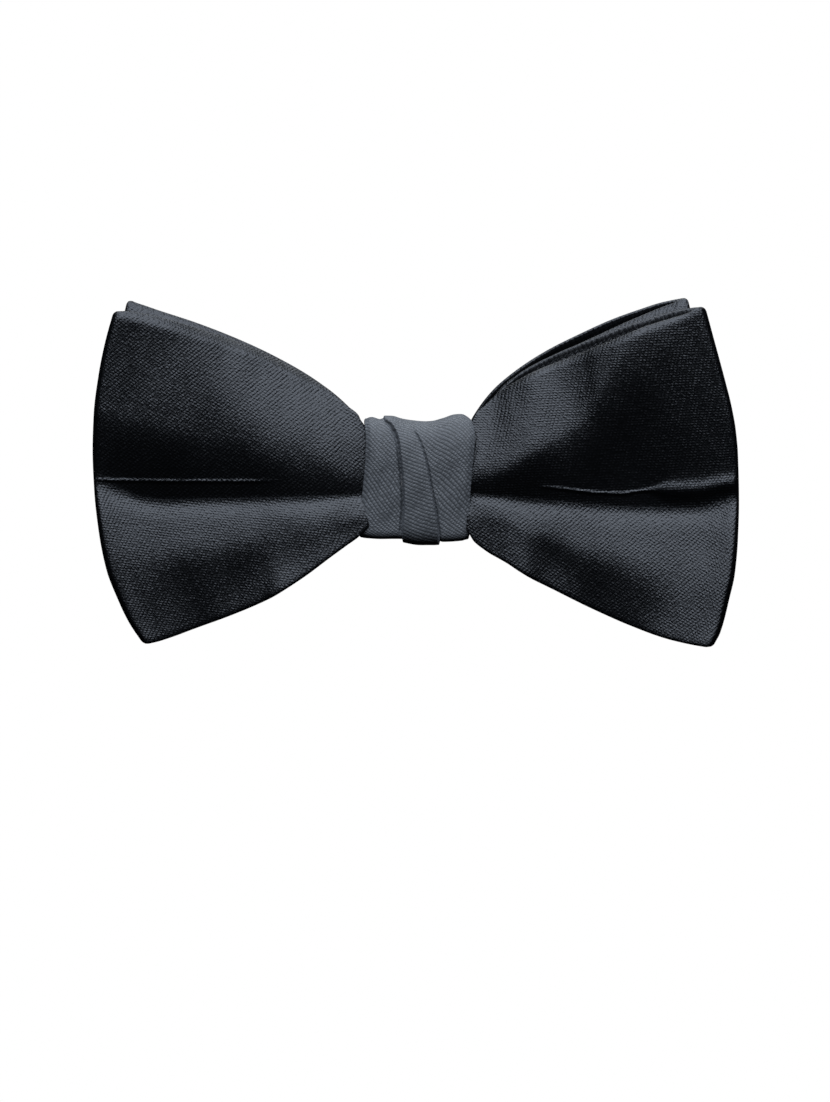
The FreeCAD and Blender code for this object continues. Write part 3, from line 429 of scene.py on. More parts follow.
# top and bottom edge of each leaf, by distance from the middle
EDGES = {
    ("front", 1, -1): ([(0, 8.9), (8.0, 8.95), (9.4, 9.3), (10.1, 10.5), (10.7, 11.8), (12.6, 13.4), (15.2, 15.6), (20.8, 19.4), (27.5, 23.0), (31.9, 24.9), (37.8, 26.9), (41.6, 28.1), (45.4, 29.2), (50.1, 30.3), (54.3, 30.9), (62, 30.8)],
                       [(0, -8.9), (7.5, -8.95), (9.5, -9.9), (10.6, -10.9), (12.6, -12.1), (15.2, -13.9), (20.8, -18.0), (27.5, -22.1), (34.1, -25.0), (40.8, -27.5), (47.5, -29.9), (50.6, -30.7), (62, -32.5)]),
    ("front", 1, 1): ([(0, 8.9), (8.2, 8.95), (9.8, 9.5), (10.5, 10.9), (11.0, 12.0), (12.6, 13.5), (15.0, 15.6), (19.0, 18.3), (23.0, 20.3), (27.5, 22.0), (32.3, 23.9), (37.2, 25.9), (43.0, 28.2), (50.6, 30.5), (52.6, 31.3), (62, 31.6)],
                      [(0, -8.9), (7.5, -8.95), (9.5, -10.1), (10.6, -11.7), (12.6, -13.1), (16.5, -15.3), (19.3, -17.1), (26.0, -20.6), (32.6, -23.9), (39.3, -26.9), (46.0, -29.3), (50.5, -30.4), (54.9, -31.1), (62, -31.6)]),
    ("front", -1, -1): ([(0, 8.8), (7.5, 8.85), (9.6, 9.6), (12.6, 12.2), (15.2, 14.2), (20.8, 17.6), (27.5, 21.2), (34.1, 24.2), (40.8, 26.8), (47.5, 29.0), (53.5, 30.8), (62, 30.8)],
                        [(0, -8.8), (7.5, -8.85), (9.6, -9.6), (12.6, -11.5), (20.8, -16.6), (27.5, -20.8), (34.1, -24.0), (40.8, -26.6), (47.5, -29.2), (50.6, -30.7), (62, -32.5)]),
    ("front", -1, 1): ([(0, 8.8), (7.5, 8.85), (9.6, 9.6), (12.6, 13.2), (15.0, 15.7), (19.0, 19.2), (26.0, 22.9), (32.3, 25.5), (41.5, 28.9), (50.7, 31.4), (52.6, 31.6), (62, 31.6)],
                       [(0, -8.8), (7.5, -8.85), (9.6, -9.6), (12.6, -12.4), (19.3, -16.3), (26.0, -19.6), (32.6, -22.8), (39.3, -25.8), (46.0, -28.4), (54.9, -31.1), (62, -31.6)]),
    ("back", 1, -1): ([(0, 8.8), (7.5, 8.85), (9.5, 9.8), (10.6, 11.4), (12.6, 13.4), (14.1, 14.7), (20.8, 19.6), (27.5, 23.3), (34.1, 26.3), (40.8, 28.9), (47.5, 31.1), (53.6, 33.1), (62, 35.0)],
                      [(0, -8.8), (7.5, -8.85), (9.6, -9.6), (12.6, -11.3), (20.8, -15.8), (27.5, -19.2), (34.1, -22.4), (40.8, -25.0), (49.5, -28.0), (62, -32.0)]),
    ("back", 1, 1): ([(0, 8.8), (7.5, 8.85), (9.6, 9.7), (12.6, 13.0), (17.1, 17.9), (23.7, 21.9), (32.3, 25.9), (39.7, 29.3), (48.4, 32.8), (50.0, 33.3), (62, 34.5)],
                     [(0, -8.8), (7.5, -8.85), (9.6, -9.6), (12.6, -11.6), (19.3, -15.4), (26.0, -18.6), (32.6, -21.6), (39.3, -24.5), (46.0, -27.0), (53.0, -29.0), (62, -31.0)]),
    ("back", -1, -1): ([(0, 8.8), (7.5, 8.85), (9.6, 9.6), (12.6, 12.6), (20.8, 18.7), (27.5, 22.6), (34.1, 25.7), (40.8, 28.4), (47.5, 30.8), (53.6, 33.1), (62, 35.0)],
                       [(0, -8.8), (7.5, -8.85), (9.6, -9.6), (12.6, -11.3), (20.8, -15.8), (27.5, -19.4), (34.1, -22.7), (40.8, -25.4), (49.5, -28.2), (62, -32.0)]),
    ("back", -1, 1): ([(0, 8.8), (7.5, 8.85), (9.5, 9.9), (10.6, 11.8), (12.6, 14.6), (17.1, 18.9), (23.7, 23.4), (30.4, 26.8), (37.1, 29.8), (41.6, 31.4), (46.0, 32.8), (49.7, 33.5), (62, 34.5)],
                      [(0, -8.8), (7.5, -8.85), (9.6, -9.6), (12.6, -11.6), (19.3, -15.6), (26.0, -18.9), (32.6, -22.0), (39.3, -24.9), (46.0, -27.3), (53.0, -29.2), (62, -31.0)]),
}

# where the two lobes of a wing meet, and the pressed crease just above it
VALLEY = {
    -1: [(0, -2.5), (10, -3.0), (13, -3.3), (18, -3.5), (23, -3.7), (29, -3.8), (34, -3.9), (40, -4.0), (45.6, -4.2), (51, -3.6), (54, -2.5), (57, -1.2), (60, 0.2)],
    1: [(0, -2.4), (10, -3.0), (12.8, -3.2), (16.5, -3.5), (21, -4.0), (26.7, -4.5), (32.3, -5.0), (38, -5.4), (43.4, -5.6), (49, -5.7), (52.7, -5.6), (56.4, -4.5), (60, -2.8)],
}
CREASE = {
    -1: [(0, 0.4), (20, -0.6), (29, -0.6), (36, -0.62), (44, -0.6), (52, -0.5), (60, -0.35)],
    1: [(0, 0.6), (18, -1.2), (24, -1.7), (28, -2.1), (32.3, -2.65), (37.8, -2.9), (43.4, -2.25), (49, -2.35), (52.7, -2.15), (56.4, -1.4), (60, -0.9)],
}

# The front bow's front leaf is set by how far the cloth leans back, in degrees, up each wing. The curves run out from the middle.
# depth of the valley line
YV = {-1: [(0, -11.6), (3, -11.65), (7, -12.1), (9, -12.5), (12, -12.9), (16, -13.2), (20, -13.2), (25, -12.9), (30, -12.1), (36, -11.4), (46, -11.1), (54, -11.2), (60, -11.8)],
      1: [(0, -11.6), (3, -11.65), (7, -12.1), (9, -12.6), (12, -13.1), (16, -13.4), (20, -13.2), (25, -12.7), (30, -12.0), (36, -11.2), (46, -10.9), (54, -11.2), (60, -11.8)]}
# upper lobe: height of its crest, lean above the crest, height over which that lean builds up, and lean below the crest
CREST_U = {-1: [(0, 0.0), (12, 0.5), (16, 1.6), (21, 3.2), (25, 4.5), (29, 6.2), (34, 7.6), (40, 8.4), (47, 9.6), (52, 11.0), (56, 12.6), (60, 13.5)],
           1: [(0, -0.4), (12, 0.1), (16.5, 1.4), (19, 2.7), (21, 3.9), (24, 5.5), (26.7, 6.6), (29.5, 8.6), (32.3, 11.8), (34.1, 15.0), (36.5, 19.0), (38.8, 22.3), (43.4, 26.5), (48, 28.0), (60, 28.0)]}
LEAN_U = {-1: [(0, 8), (10, 12), (12, 14), (16, 20), (20, 22), (25, 21), (29, 21.5), (34, 19.5), (38, 15), (43, 8), (47.5, 3.0), (51, 0.5), (55, -1.5), (60, -3)],
          1: [(0, 10), (10, 16), (12, 18), (15, 19.5), (18, 17), (22, 14), (26, 13.5), (32, 15), (36, 14), (40, 11), (44, 6), (47, 2), (53, -1.5), (60, -3)]}
BUILD_U = {-1: [(0, 4), (12, 3.5), (16, 5), (20, 7), (25, 9.5), (29, 12), (34, 15), (38, 15.5), (43, 10), (47.5, 6), (52, 4), (60, 3)],
           1: [(0, 3), (12, 2.6), (16.5, 2.5), (21, 1.6), (26, 2.3), (30, 3.4), (36, 4.0), (39, 4.5), (43, 4), (60, 5)]}
DROP_U = {-1: [(0, 5), (12, 13), (16, 15), (25, 16), (34, 17), (44, 17), (54, 14), (60, 10)],
          1: [(0, 5), (12, 16), (16, 17), (22, 16), (28, 13), (38, 11.5), (44, 10.5), (48, 9), (53, 7.5), (60, 6)]}
# how far below the crest that drop builds up
BUILD_D = {-1: [(0, 3.0), (12, 3.5), (20, 5.0), (34, 5.0), (44, 3.6), (60, 3.0)], 1: [(0, 1.2), (16, 1.2), (21, 1.6), (27, 2.4), (34, 4.0), (40, 7.0), (60, 8.0)]}
# lower lobe: lean just under the valley, height where it has died away, lean below that, and lean at the very bottom edge
LEAN_L = {-1: [(0, 8), (12, 13), (20, 13), (30, 12.5), (40, 11.5), (48, 10.5), (52, 11), (60, 10)],
          1: [(0, 8), (12, 13.0), (18, 13.0), (24, 13.5), (30, 13.5), (54, 13.5), (60, 14)]}
START_L = {-1: [(0, -5), (12, -5.6), (18, -5.6), (24, -6.0), (29, -7.5), (33.6, -9.0), (38, -10.5), (43, -10.5), (47.5, -11.0), (51, -9.5), (55, -8.0), (60, -8)],
           1: [(0, -5), (12, -5.6), (16.5, -6.5), (21, -8.6), (25, -8.8), (29.5, -9.8), (34, -11.0), (38.8, -12.5), (43.4, -12.5), (48, -13.0), (60, -14)]}
FADE_L = {-1: [(0, -8.5), (12, -8.8), (15, -9.3), (19.7, -12.5), (24.3, -14.0), (29, -15.0), (33.6, -16.0), (38, -16.8), (43, -17.8), (47.5, -19.0), (51, -20.0), (55, -19.0), (60, -18.0)],
          1: [(0, -7.5), (12, -8.4), (16.5, -9.2), (21, -12.0), (25, -13.6), (29.5, -16.5), (34, -18.3), (38.8, -20.8), (43.4, -23.4), (48, -24.0), (60, -24.0)]}
BASE_L = {-1: [(0, 0), (12, -1), (16, 0), (21, 1.5), (25, 2.0), (30, -2.0), (36, -2.0), (43, -4.0), (47.5, -4.0), (51, -2.0), (54, 2), (57, 5), (60, 6)],
          1: [(0, 0), (12, -2.5), (16, -1), (20, 1.5), (24, -4), (28, -6), (34, -6), (40, -5.0), (43.4, -2.0), (48, 3.5), (52.7, 7.0), (56, 10.0), (60, 12)]}
FOOT_L = {-1: [(0, 2), (14, 6), (20, 7), (26, 7.5), (30, 6.5), (34, 4.0), (40, 1.5), (60, 1)],
          1: [(0, 2), (12, 6), (16, 5), (22, 6.5), (26, 6.0), (32, 3.0), (38, 2), (46, 2), (60, 1)]}
# width of the rolled top edge that leans right back
ROLL = {-1: [(0, 0.3), (12, 0.4), (18, 0.8), (26, 1.3), (50, 1.5), (56, 1.0), (60, 0.5)], 1: [(0, 0.3), (14, 0.6), (20, 0.7), (44, 0.7), (52, 0.5), (60, 0.5)]}

RIPPLE = [(0.8, 0.22, 0.16, 0.4), (0.8, -0.31, 0.24, 1.9), (0.7, 0.47, -0.30, 3.1), (0.5, 0.62, 0.55, 0.9)]


def front_lean(side, xi, z, zt, zb):
    """Lean of the front leaf in degrees, positive where the cloth faces up."""
    zv = curve(VALLEY[side])(xi)
    zc = curve(CREST_U[side])(xi)
    above = (z - zc) / curve(BUILD_U[side])(xi)
    rise = curve(LEAN_U[side])(xi) * np.clip(above, 0, None) / np.power(1 + np.power(np.clip(above, 0, None), 3.0), 1 / 3.0)
    drop = curve(DROP_U[side])(xi) * (1 - np.exp(-np.clip(zc - z, 0, None) / curve(BUILD_D[side])(xi)))
    up = rise - drop
    roll = curve(ROLL[side])(xi)
    up = up + 30 * smoothstep(roll * 1.25, roll * 0.55, zt - z) * smoothstep(10, 20, xi)
    sc = 0.55 + 0.45 * smoothstep(12, 21, xi) + 0.35 * smoothstep(52, 57, xi)
    depth = (zv - z) / sc
    fade = smoothstep(curve(START_L[side])(xi), curve(FADE_L[side])(xi), z)
    base = curve(BASE_L[side])(xi)
    low = base + (curve(LEAN_L[side])(xi) - base) * (1 - fade) + np.where(side > 0, 6.5, 8.0) * np.exp(-((depth - 1.9) / 1.8) ** 2)
    low = low + curve(FOOT_L[side])(xi) * smoothstep(zb + 8.0, zb + 1.5, z)
    low = low - 10 * smoothstep(zb + 0.6, zb, z)
    w = smoothstep(-1.6, 1.2, -depth)
    lean = up * w + low * (1 - w)
    # gathers that run out from the knot, and small unevenness in the cloth
    fan = (z - zv) / np.maximum(np.where(z > zv, zt - zv, zv - zb), 1e-6)
    lean = lean + np.where((side > 0) & (z > zv), 0.0, 3.5) * np.exp(-np.clip(xi - 10, 0, None) / 5.5) * np.sin(fan * 10.5 + 0.8 * side) * smoothstep(0.06, 0.3, np.abs(fan)) * smoothstep(8, 12, xi)
    away = smoothstep(0.8, 5.0, np.abs(z - zv))
    lean = lean + waves(xi, z + 2.0 * side, RIPPLE) * away * smoothstep(10, 20, xi)
    return lean * smoothstep(4.5, 9.6, xi)


def front_front(side, xi, z, zt, zb):
    """Depth of the front leaf: the lean summed up each wing from the valley line."""
    zt, zb = np.broadcast_to(zt, z.shape), np.broadcast_to(zb, z.shape)
    slope = np.tan(np.radians(front_lean(side, xi, z, zt, zb)))
    step = np.diff(z, axis=1) * (slope[:, 1:] + slope[:, :-1]) / 2
    y = np.concatenate([np.zeros((z.shape[0], 1)), np.cumsum(step, axis=1)], 1)
    zv = curve(VALLEY[side])(xi)
    at = np.array([np.interp(0.0, z[i] - zv[i], y[i]) for i in range(z.shape[0])])
    y = y - at[:, None] + curve(YV[side])(xi)
    # pressed crease with its small puckers
    zk = curve(CREASE[side])(xi)
    broad = smoothstep(42, 48, xi) if side > 0 else 0.0 * xi
    wide = 0.30 + 1.25 * broad
    strength = np.where(side > 0, smoothstep(22, 27, xi), smoothstep(25, 31, xi)) * (1 - 0.8 * smoothstep(59.0, 60, xi))
    tick = 2 * math.pi / 0.66
    pucker = np.clip(np.sin(xi * tick + 1.7 * np.sin(xi * 0.9) + 0.9 * np.sin(xi * 2.3)), 0, 1)
    patchy = 0.55 + 0.25 * np.sin(xi * 0.83 + 0.4) + 0.20 * np.sin(xi * 2.1 + 1.0)
    line = np.exp(-np.abs((z - zk) / wide) ** 2.0)
    lift = strength * line * ((np.where(side > 0, 0.16, 0.11) + 0.07 * patchy) * (1 - broad) + (0.56 + 0.08 * patchy) * broad)
    # fine puckers across it
    shift = z - zk - 0.25 - 0.45 * broad
    reach = 0.30 + 0.12 * np.sin(xi * 1.37) + 0.55 * broad
    lift = lift + strength * np.exp(-(shift / reach) ** 2) * pucker * (np.where(side > 0, 0.045, 0.075) + 0.03 * patchy + 0.03 * broad)
    return y - lift


def lobe(t, tc, p, k, q=2.3):
    """Rise of a lobe from its valley (t 0) to its free edge (t 1), full at tc."""
    t = np.clip(t, 0, 1)
    a = 1 - np.power(np.clip(1 - t / tc, 0, 1), p)
    b = 1 - k * np.power(np.clip((t - tc) / np.maximum(1 - tc, 1e-6), 0, 1), q)
    return np.where(t < tc, a, b)


SOFT = [(0.10, 0.22, 0.16, 0.4), (0.07, -0.31, 0.24, 1.9), (0.05, 0.47, -0.30, 3.1), (0.035, 0.62, 0.55, 0.9)]


def flat_leaf(y0_table, dep_u, dep_l, facing, ripple=0.6, back={-1: 0.0, 1: 0.0}):
    y0f = curve(y0_table)

    def f(side, xi, z, zt, zb):
        zv = curve(VALLEY[side])(xi) * 0.6
        up = (z - zv) / np.maximum(zt - zv, 1e-6)
        dn = (zv - z) / np.maximum(zv - zb, 1e-6)
        grow = smoothstep(9, 26, xi)
        rise = np.where(z >= zv, dep_u * lobe(up, 0.62, 2.0, 0.45), dep_l * lobe(dn, 0.62, 2.0, 0.45)) * grow
        rise = rise + 0.30 * np.exp(-np.clip(xi - 10, 0, None) / 7.0) * np.cos(np.where(z >= zv, up, -dn) * 7.0 + side)
        rise = rise + waves(xi + 17 * facing, z + 3 * side, SOFT) * ripple * smoothstep(9, 20, xi)
        rise = rise - 0.35 * smoothstep(1.6, 0, zt - z) ** 2 - 0.3 * smoothstep(1.6, 0, z - zb) ** 2
        lean = back[side] * np.clip(z - (zt - 4.0), 0, None) * smoothstep(12, 24, xi)
        return y0f(xi) + facing * rise + lean
    return f


FRONT_REAR = flat_leaf([(0, -7.3), (9, -7.2), (14, -7.0), (24, -7.0), (40, -7.3), (60, -7.6)], 0.35, 0.45, 1, back={-1: 0.22, 1: 0.22})
BACK_FRONT = flat_leaf([(0, -6.1), (9, -6.05), (14, -5.75), (24, -5.4), (40, -5.1), (60, -5.3)], 0.45, 0.5, -1, back={-1: 0.25, 1: 0.28})
BACK_REAR = flat_leaf([(0, -1.5), (9, -1.5), (14, -1.7), (24, -1.9), (30, -2.0), (44, -2.0), (60, -2.3)], 1.9, 1.9, 1)

SIG_FINE = np.concatenate([np.linspace(0, 0.15, 9), np.linspace(0.15, 0.33, 34)[1:], np.linspace(0.33, 0.93, 118)[1:],
                           1 - 0.07 * (1 - np.linspace(0, 1, 30)[1:]) ** 2.1])
SIG_SOFT = np.concatenate([np.linspace(0, 0.15, 6), np.linspace(0.15, 0.33, 16)[1:], np.linspace(0.33, 0.93, 48)[1:],
                           1 - 0.07 * (1 - np.linspace(0, 1, 22)[1:]) ** 2.0])


def band_surface(which, fine=True):
    """Outer surface of a looped band: points[n round the loop, m from bottom to top, 3], in mm."""
    reach = F_REACH if which == "front" else B_REACH
    front = front_front if which == "front" else BACK_FRONT
    rear = FRONT_REAR if which == "front" else BACK_REAR
    n_exp = 130.0 if which == "front" else 60.0
    y_mid = curve([(0, -9.6), (30, -9.5), (60, -10.2)]) if which == "front" else curve([(0, -3.9), (30, -4.0), (60, -4.1)])
    rows_l = 1 - np.linspace(0, 1, 58) ** 1.0
    cols = []
    a, b = (SIG_FINE, SIG_SOFT) if (fine and which == "front") else (SIG_SOFT, SIG_SOFT)
    # rear centre -> left fold -> front centre -> right fold -> rear centre
    for s in b[:-1]:
        cols.append((-1, -1, s))
    for s in a[::-1]:
        cols.append((-1, 1, s))
    for s in a[1:]:
        cols.append((1, 1, s))
    for s in b[::-1][1:-1]:
        cols.append((1, -1, s))
    side = np.array([c[0] for c in cols])
    leaf = np.array([c[1] for c in cols])
    sig = np.array([c[2] for c in cols])
    n = len(cols)
    zt, zb = np.zeros(n), np.zeros(n)
    for sd in (-1, 1):
        rf = curve(reach[sd])
        ed = {lf: EDGES[(which, lf, sd)] for lf in (-1, 1)}
        m = side == sd
        s = sig[m]
        for k, arr, sgn in ((0, zt, 1), (1, zb, -1)):
            vals = []
            for lf in (1, -1):
                tab = curve(ed[lf][k])
                z = tab(s * 57)
                for _ in range(25):
                    z = tab(s * rf(z))
                vals.append(z)
            # both leaves end at the same height where they fold into each other
            w = smoothstep(0.93, 1.0, s)
            both = (vals[0] + vals[1]) / 2 if sgn < 0 or sd < 0 else np.maximum(vals[0], vals[1])
            pick = np.where(leaf[m] > 0, vals[0], vals[1])
            val = pick * (1 - w) + both * w
            corner = np.clip((s - 0.985) / 0.015, 0, 1)
            val = val - sgn * 0.75 * (1 - np.sqrt(np.clip(1 - corner ** 2.2, 0, 1)))
            arr[m] = val
    T = 0.8
    # the rolled rim leans with the leaf, which takes a little off its height
    out = sig * 58.0
    zt, zb = zt - T / 2 + 0.30 * smoothstep(11, 16, out), zb + T / 2 - 0.38 * smoothstep(9, 14, out)
    # rows
    nl, n1, n2, n3 = 60, 13, 22, 52
    lower = np.linspace(1, 0, nl)
    t1, t2, t3 = np.linspace(0, 1, n1 + 1)[1:], np.linspace(0, 1, n2 + 1)[1:], np.linspace(0, 1, n3 + 1)[1:]
    M = nl + n1 + n2 + n3
    Z = np.zeros((n, M))
    XI = np.zeros((n, M))
    for sd in (-1, 1):
        m = side == sd
        rf = curve(reach[sd])
        s = sig[m]
        xi_v = s * rf(np.full_like(s, -3.0))
        zv = curve(VALLEY[sd])(xi_v) * np.where(leaf[m] > 0, 1.0, 0.6)
        if which == "back":
            zv = curve(VALLEY[sd])(xi_v) * 0.6
        # the lobes meet the loop's centre and the rear leaf smoothly
        zk = curve(CREASE[sd])(xi_v)
        zk = np.clip(zk, zv + 0.9, None)
        Zm = np.zeros((m.sum(), M))
        Zm[:, :nl] = zv[:, None] + (zb[m] - zv)[:, None] * (lower[None, :] ** 1.25)
        broad = smoothstep(42, 48, xi_v) if sd > 0 else 0.0 * xi_v
        lo, hi = np.maximum(zk - 0.6 - 1.0 * broad, zv + 0.5), zk + 0.95 + 1.5 * broad
        Zm[:, nl:nl + n1] = zv[:, None] + (lo - zv)[:, None] * t1[None, :]
        Zm[:, nl + n1:nl + n1 + n2] = lo[:, None] + (hi - lo)[:, None] * t2[None, :]
        Zm[:, nl + n1 + n2:] = hi[:, None] + (zt[m] - hi)[:, None] * t3[None, :]
        Z[m] = Zm
        XI[m] = s[:, None] * rf(Zm)
    g = np.sqrt(np.clip(1 - np.power(sig, n_exp), 0, 1))
    Y = np.zeros((n, M))
    for sd in (-1, 1):
        for lf, fn in ((1, front), (-1, rear)):
            m = (side == sd) & (leaf == lf)
            y = fn(sd, XI[m], Z[m], zt[m][:, None], zb[m][:, None])
            if which == "front" and lf == 1:
                stop = rear(sd, XI[m], Z[m], zt[m][:, None], zb[m][:, None]) - 1.85
                gap = (stop - y) / 0.5
                y = stop - 0.5 * np.logaddexp(0, gap)
            ym = y_mid(XI[m])
            Y[m] = ym + (y - ym) * g[m][:, None]
    # at the centre the left and right halves agree
    P = np.stack([XI * side[:, None], Y, Z], -1)
    return {"P": P, "side": side, "leaf": leaf, "sig": sig, "nl": nl, "T": T, "zt": zt, "zb": zb, "which": which}


def band_frames(P):
    """Outward normal and the upward direction in the surface, on the closed grid."""
    du = np.roll(P, -1, 0) - np.roll(P, 1, 0)
    dv = np.gradient(P, axis=1)
    N = unit(np.cross(dv, du))
    E = unit(dv)
    # outwards on the front leaf is towards -Y
    return N, E


TWILL = {("front", 1, -1): (42.0, 67.0), ("front", 1, 1): (76.5, 43.5), ("front", -1, -1): (48.0, 60.0), ("front", -1, 1): (66.0, 52.0),
         ("back", 1, -1): (40.0, 62.0), ("back", 1, 1): (72.0, 48.0), ("back", -1, -1): (46.0, 62.0), ("back", -1, 1): (68.0, 50.0)}


def band_uv(S, plain=False):
    """Weave coordinates in mm: along the ribs and across them. Arc lengths keep the ribs' true spacing."""
    P, side, leaf, nl, which = S["P"], S["side"], S["leaf"], S["nl"], S["which"]
    n, M = P.shape[:2]
    dz = np.linalg.norm(np.diff(P, axis=1), axis=2)
    v = np.zeros((n, M))
    v[:, nl:] = np.cumsum(dz[:, nl - 1:], axis=1)[:, :M - nl]
    v[:, :nl - 1] = -np.cumsum(dz[:, :nl - 1][:, ::-1], axis=1)[:, ::-1]
    v = v + P[:, nl - 1, 2][:, None]
    dx = np.hypot(*(np.roll(P, -1, 0) - P)[..., :2].transpose(2, 0, 1))
    u = np.zeros((n + 1, M))
    u[1:] = np.cumsum(dx, axis=0)
    v = np.concatenate([v, v[:1]], 0)
    return u, v


def build_band_ply(name, S, d0, d1, edge, material, mode):
    """A ply between depths d0 and d1 under the outer surface. mode face rolls over both free edges."""
    P, N, E, T = S["P"], S["N"], S["E"], S["T"]
    n, M = P.shape[:2]
    u, v = S["uv"]
    if mode == "face":
        k = 7
        ang = np.linspace(0, math.pi, k + 2)[1:-1]
        hem = np.linspace(0, 1, 4)

        def profile(d):
            r = T / 2 - d
            c_top = P[:, -1] - N[:, -1] * T / 2
            c_bot = P[:, 0] - N[:, 0] * T / 2
            rows = []
            # bottom hem on the inside, then the bottom rim, the face, the top rim, the top hem
            for h in hem[::-1]:
                j = 1 + int(round(h * 6))
                rows.append(P[:, j] - N[:, j] * (T - d))
            for a in ang[::-1]:
                rows.append(c_bot + r * (math.cos(a) * N[:, 0] - math.sin(a) * E[:, 0]))
            for j in range(M):
                rows.append(P[:, j] - N[:, j] * d)
            for a in ang:
                rows.append(c_top + r * (math.cos(a) * N[:, -1] + math.sin(a) * E[:, -1]))
            for h in hem:
                j = M - 2 - int(round(h * 6))
                rows.append(P[:, j] - N[:, j] * (T - d))
            return np.stack(rows, 1)
        outer, inner = profile(d0), profile(d1)
        vv = []
        for h in hem[::-1]:
            vv.append(v[:, 0] - 1.3 - h * 2.4)
        for a in ang[::-1]:
            vv.append(v[:, 0] - T / 2 * a)
        for j in range(M):
            vv.append(v[:, j])
        for a in ang:
            vv.append(v[:, -1] + T / 2 * a)
        for h in hem:
            vv.append(v[:, -1] + 1.3 + h * 2.4)
        V = np.stack(vv, 1)
        first, last = len(hem) + len(ang), len(hem) + len(ang) + M - 1
        U = np.concatenate([np.repeat(u[:, :1], first, 1), u, np.repeat(u[:, -1:], len(ang) + len(hem), 1)], 1)
        split = first + S["nl"] - 1
    else:
        rows = [j for j in range(M) if True]
        take = np.arange(M)
        low = np.linalg.norm(P - P[:, :1], axis=2)
        high = np.linalg.norm(P - P[:, -1:], axis=2)
        # slide rows inwards from both free edges by `edge`
        t = np.linspace(0, 1, M)
        q = np.zeros((n, M, 3))
        arc = np.concatenate([np.zeros((n, 1)), np.cumsum(np.linalg.norm(np.diff(P, axis=1), axis=2), axis=1)], 1)
        Pn = {}
        for d in (d0, d1):
            base = P - N * d
            out = np.zeros_like(P)
            for i in range(n):
                L = arc[i, -1]
                want = edge + (L - 2 * edge) * arc[i] / L
                for c in range(3):
                    out[i, :, c] = np.interp(want, arc[i], base[i, :, c])
            Pn[d] = out
        outer, inner = Pn[d0], Pn[d1]
        U, V = u, v
        split = S["nl"] - 1
    R = outer.shape[1]
    ring = np.concatenate([outer, inner[:, ::-1]], 1)
    UU = np.concatenate([U, U[:, ::-1]], 1)
    VV = np.concatenate([V, V[:, ::-1]], 1)
    UU = np.concatenate([UU, UU[:, :1]], 1)
    VV = np.concatenate([VV, VV[:, :1]], 1)
    uv = np.zeros((UU.shape[0], UU.shape[1], 2))
    if mode == "face" or mode == "weave":
        # ribs turn with each lobe of each wing
        side = np.append(S["side"], S["side"][0])
        leaf = np.append(S["leaf"], S["leaf"][0])
        xs = np.concatenate([S["P"][:, :, 0], S["P"][:1, :, 0]], 0)
        for i in range(UU.shape[0]):
            key = (S["which"], int(leaf[i]), int(side[i]))
            up, lo = TWILL[key]
            row = np.arange(UU.shape[1])
            rr = np.where(row < R, row, 2 * R - 1 - row)
            rr = np.clip(rr, 0, R - 1)
            is_up = rr > split
            th = np.radians(np.where(is_up, up, lo))
            if leaf[i] < 0:
                th = math.pi - th
            x = np.full(UU.shape[1], 0.0)
            jj = np.clip(rr - (len(hem) + len(ang) if mode == "face" else 0), 0, M - 1)
            x = np.where(leaf[i] > 0, 1, -1) * S["arcx"][i, jj]
            z = VV[i]
            uv[i, :, 0] = x * np.cos(th) + z * np.sin(th)
            uv[i, :, 1] = -x * np.sin(th) + z * np.cos(th)
    else:
        uv[..., 0], uv[..., 1] = UU, VV
    return mesh_from_grid(name, ring, uv, True, True, material)


def make_band(which, fine=True):
    S = band_surface(which, fine)
    S["N"], S["E"] = band_frames(S["P"])
    mid = S["P"].shape[1] // 2
    i = int(np.argmin(np.abs(S["sig"] - 0.5) + 10 * (S["leaf"] < 0) + 10 * (S["side"] < 0)))
    if S["N"][i, mid, 1] > 0:
        S["N"] = -S["N"]
    S["uv"] = band_uv(S)
    # signed distance along each row from the middle of its leaf
    P = S["P"]
    n, M = P.shape[:2]
    arcx = np.zeros((n + 1, M))
    for lf in (1, -1):
        idx = [k for k in range(n) if S["leaf"][k] == lf]
        xs = P[idx][:, :, 0]
        order = np.argsort(np.array([S["side"][k] * S["sig"][k] for k in idx]), kind="stable")
        idx = np.array(idx)[order]
        q = P[idx][:, :, :2]
        d = np.linalg.norm(np.diff(q, axis=0), axis=2)
        acc = np.concatenate([np.zeros((1, M)), np.cumsum(d, axis=0)], 0)
        centre = np.argmin(np.abs(S["side"][idx] * S["sig"][idx]))
        acc = acc - acc[centre]
        arcx[idx] = acc
    arcx[n] = arcx[0]
    S["arcx"] = arcx
    return S


def bows():
    made = {}
    for which in ("front", "back"):
        S = make_band(which)
        face = build_band_ply("%s_bow_satin" % which, S, 0.0, 0.22, 0.0, SATIN, "face")
        core = build_band_ply("%s_bow_canvas" % which, S, 0.25, 0.50, 1.1, CANVAS, "plain")
        lining = build_band_ply("%s_bow_lining" % which, S, 0.60, 0.80, 1.6, LINING, "plain")
        flat_len = float(S["uv"][0][-1].mean()) * MM
        made[which] = (face, core, lining, flat_len, S)
    return made


BOWS = bows()
for which in ("front", "back"):
    face, core, lining, flat_len, S = BOWS[which]
    for piece, node, slot in ((face, "face_panel", "satin_twill"), (core, "interlining", "interlining"), (lining, "lining_panel", "satin_lining")):
        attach(piece, "bow")
        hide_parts("%s_bow_%s" % (which, node))

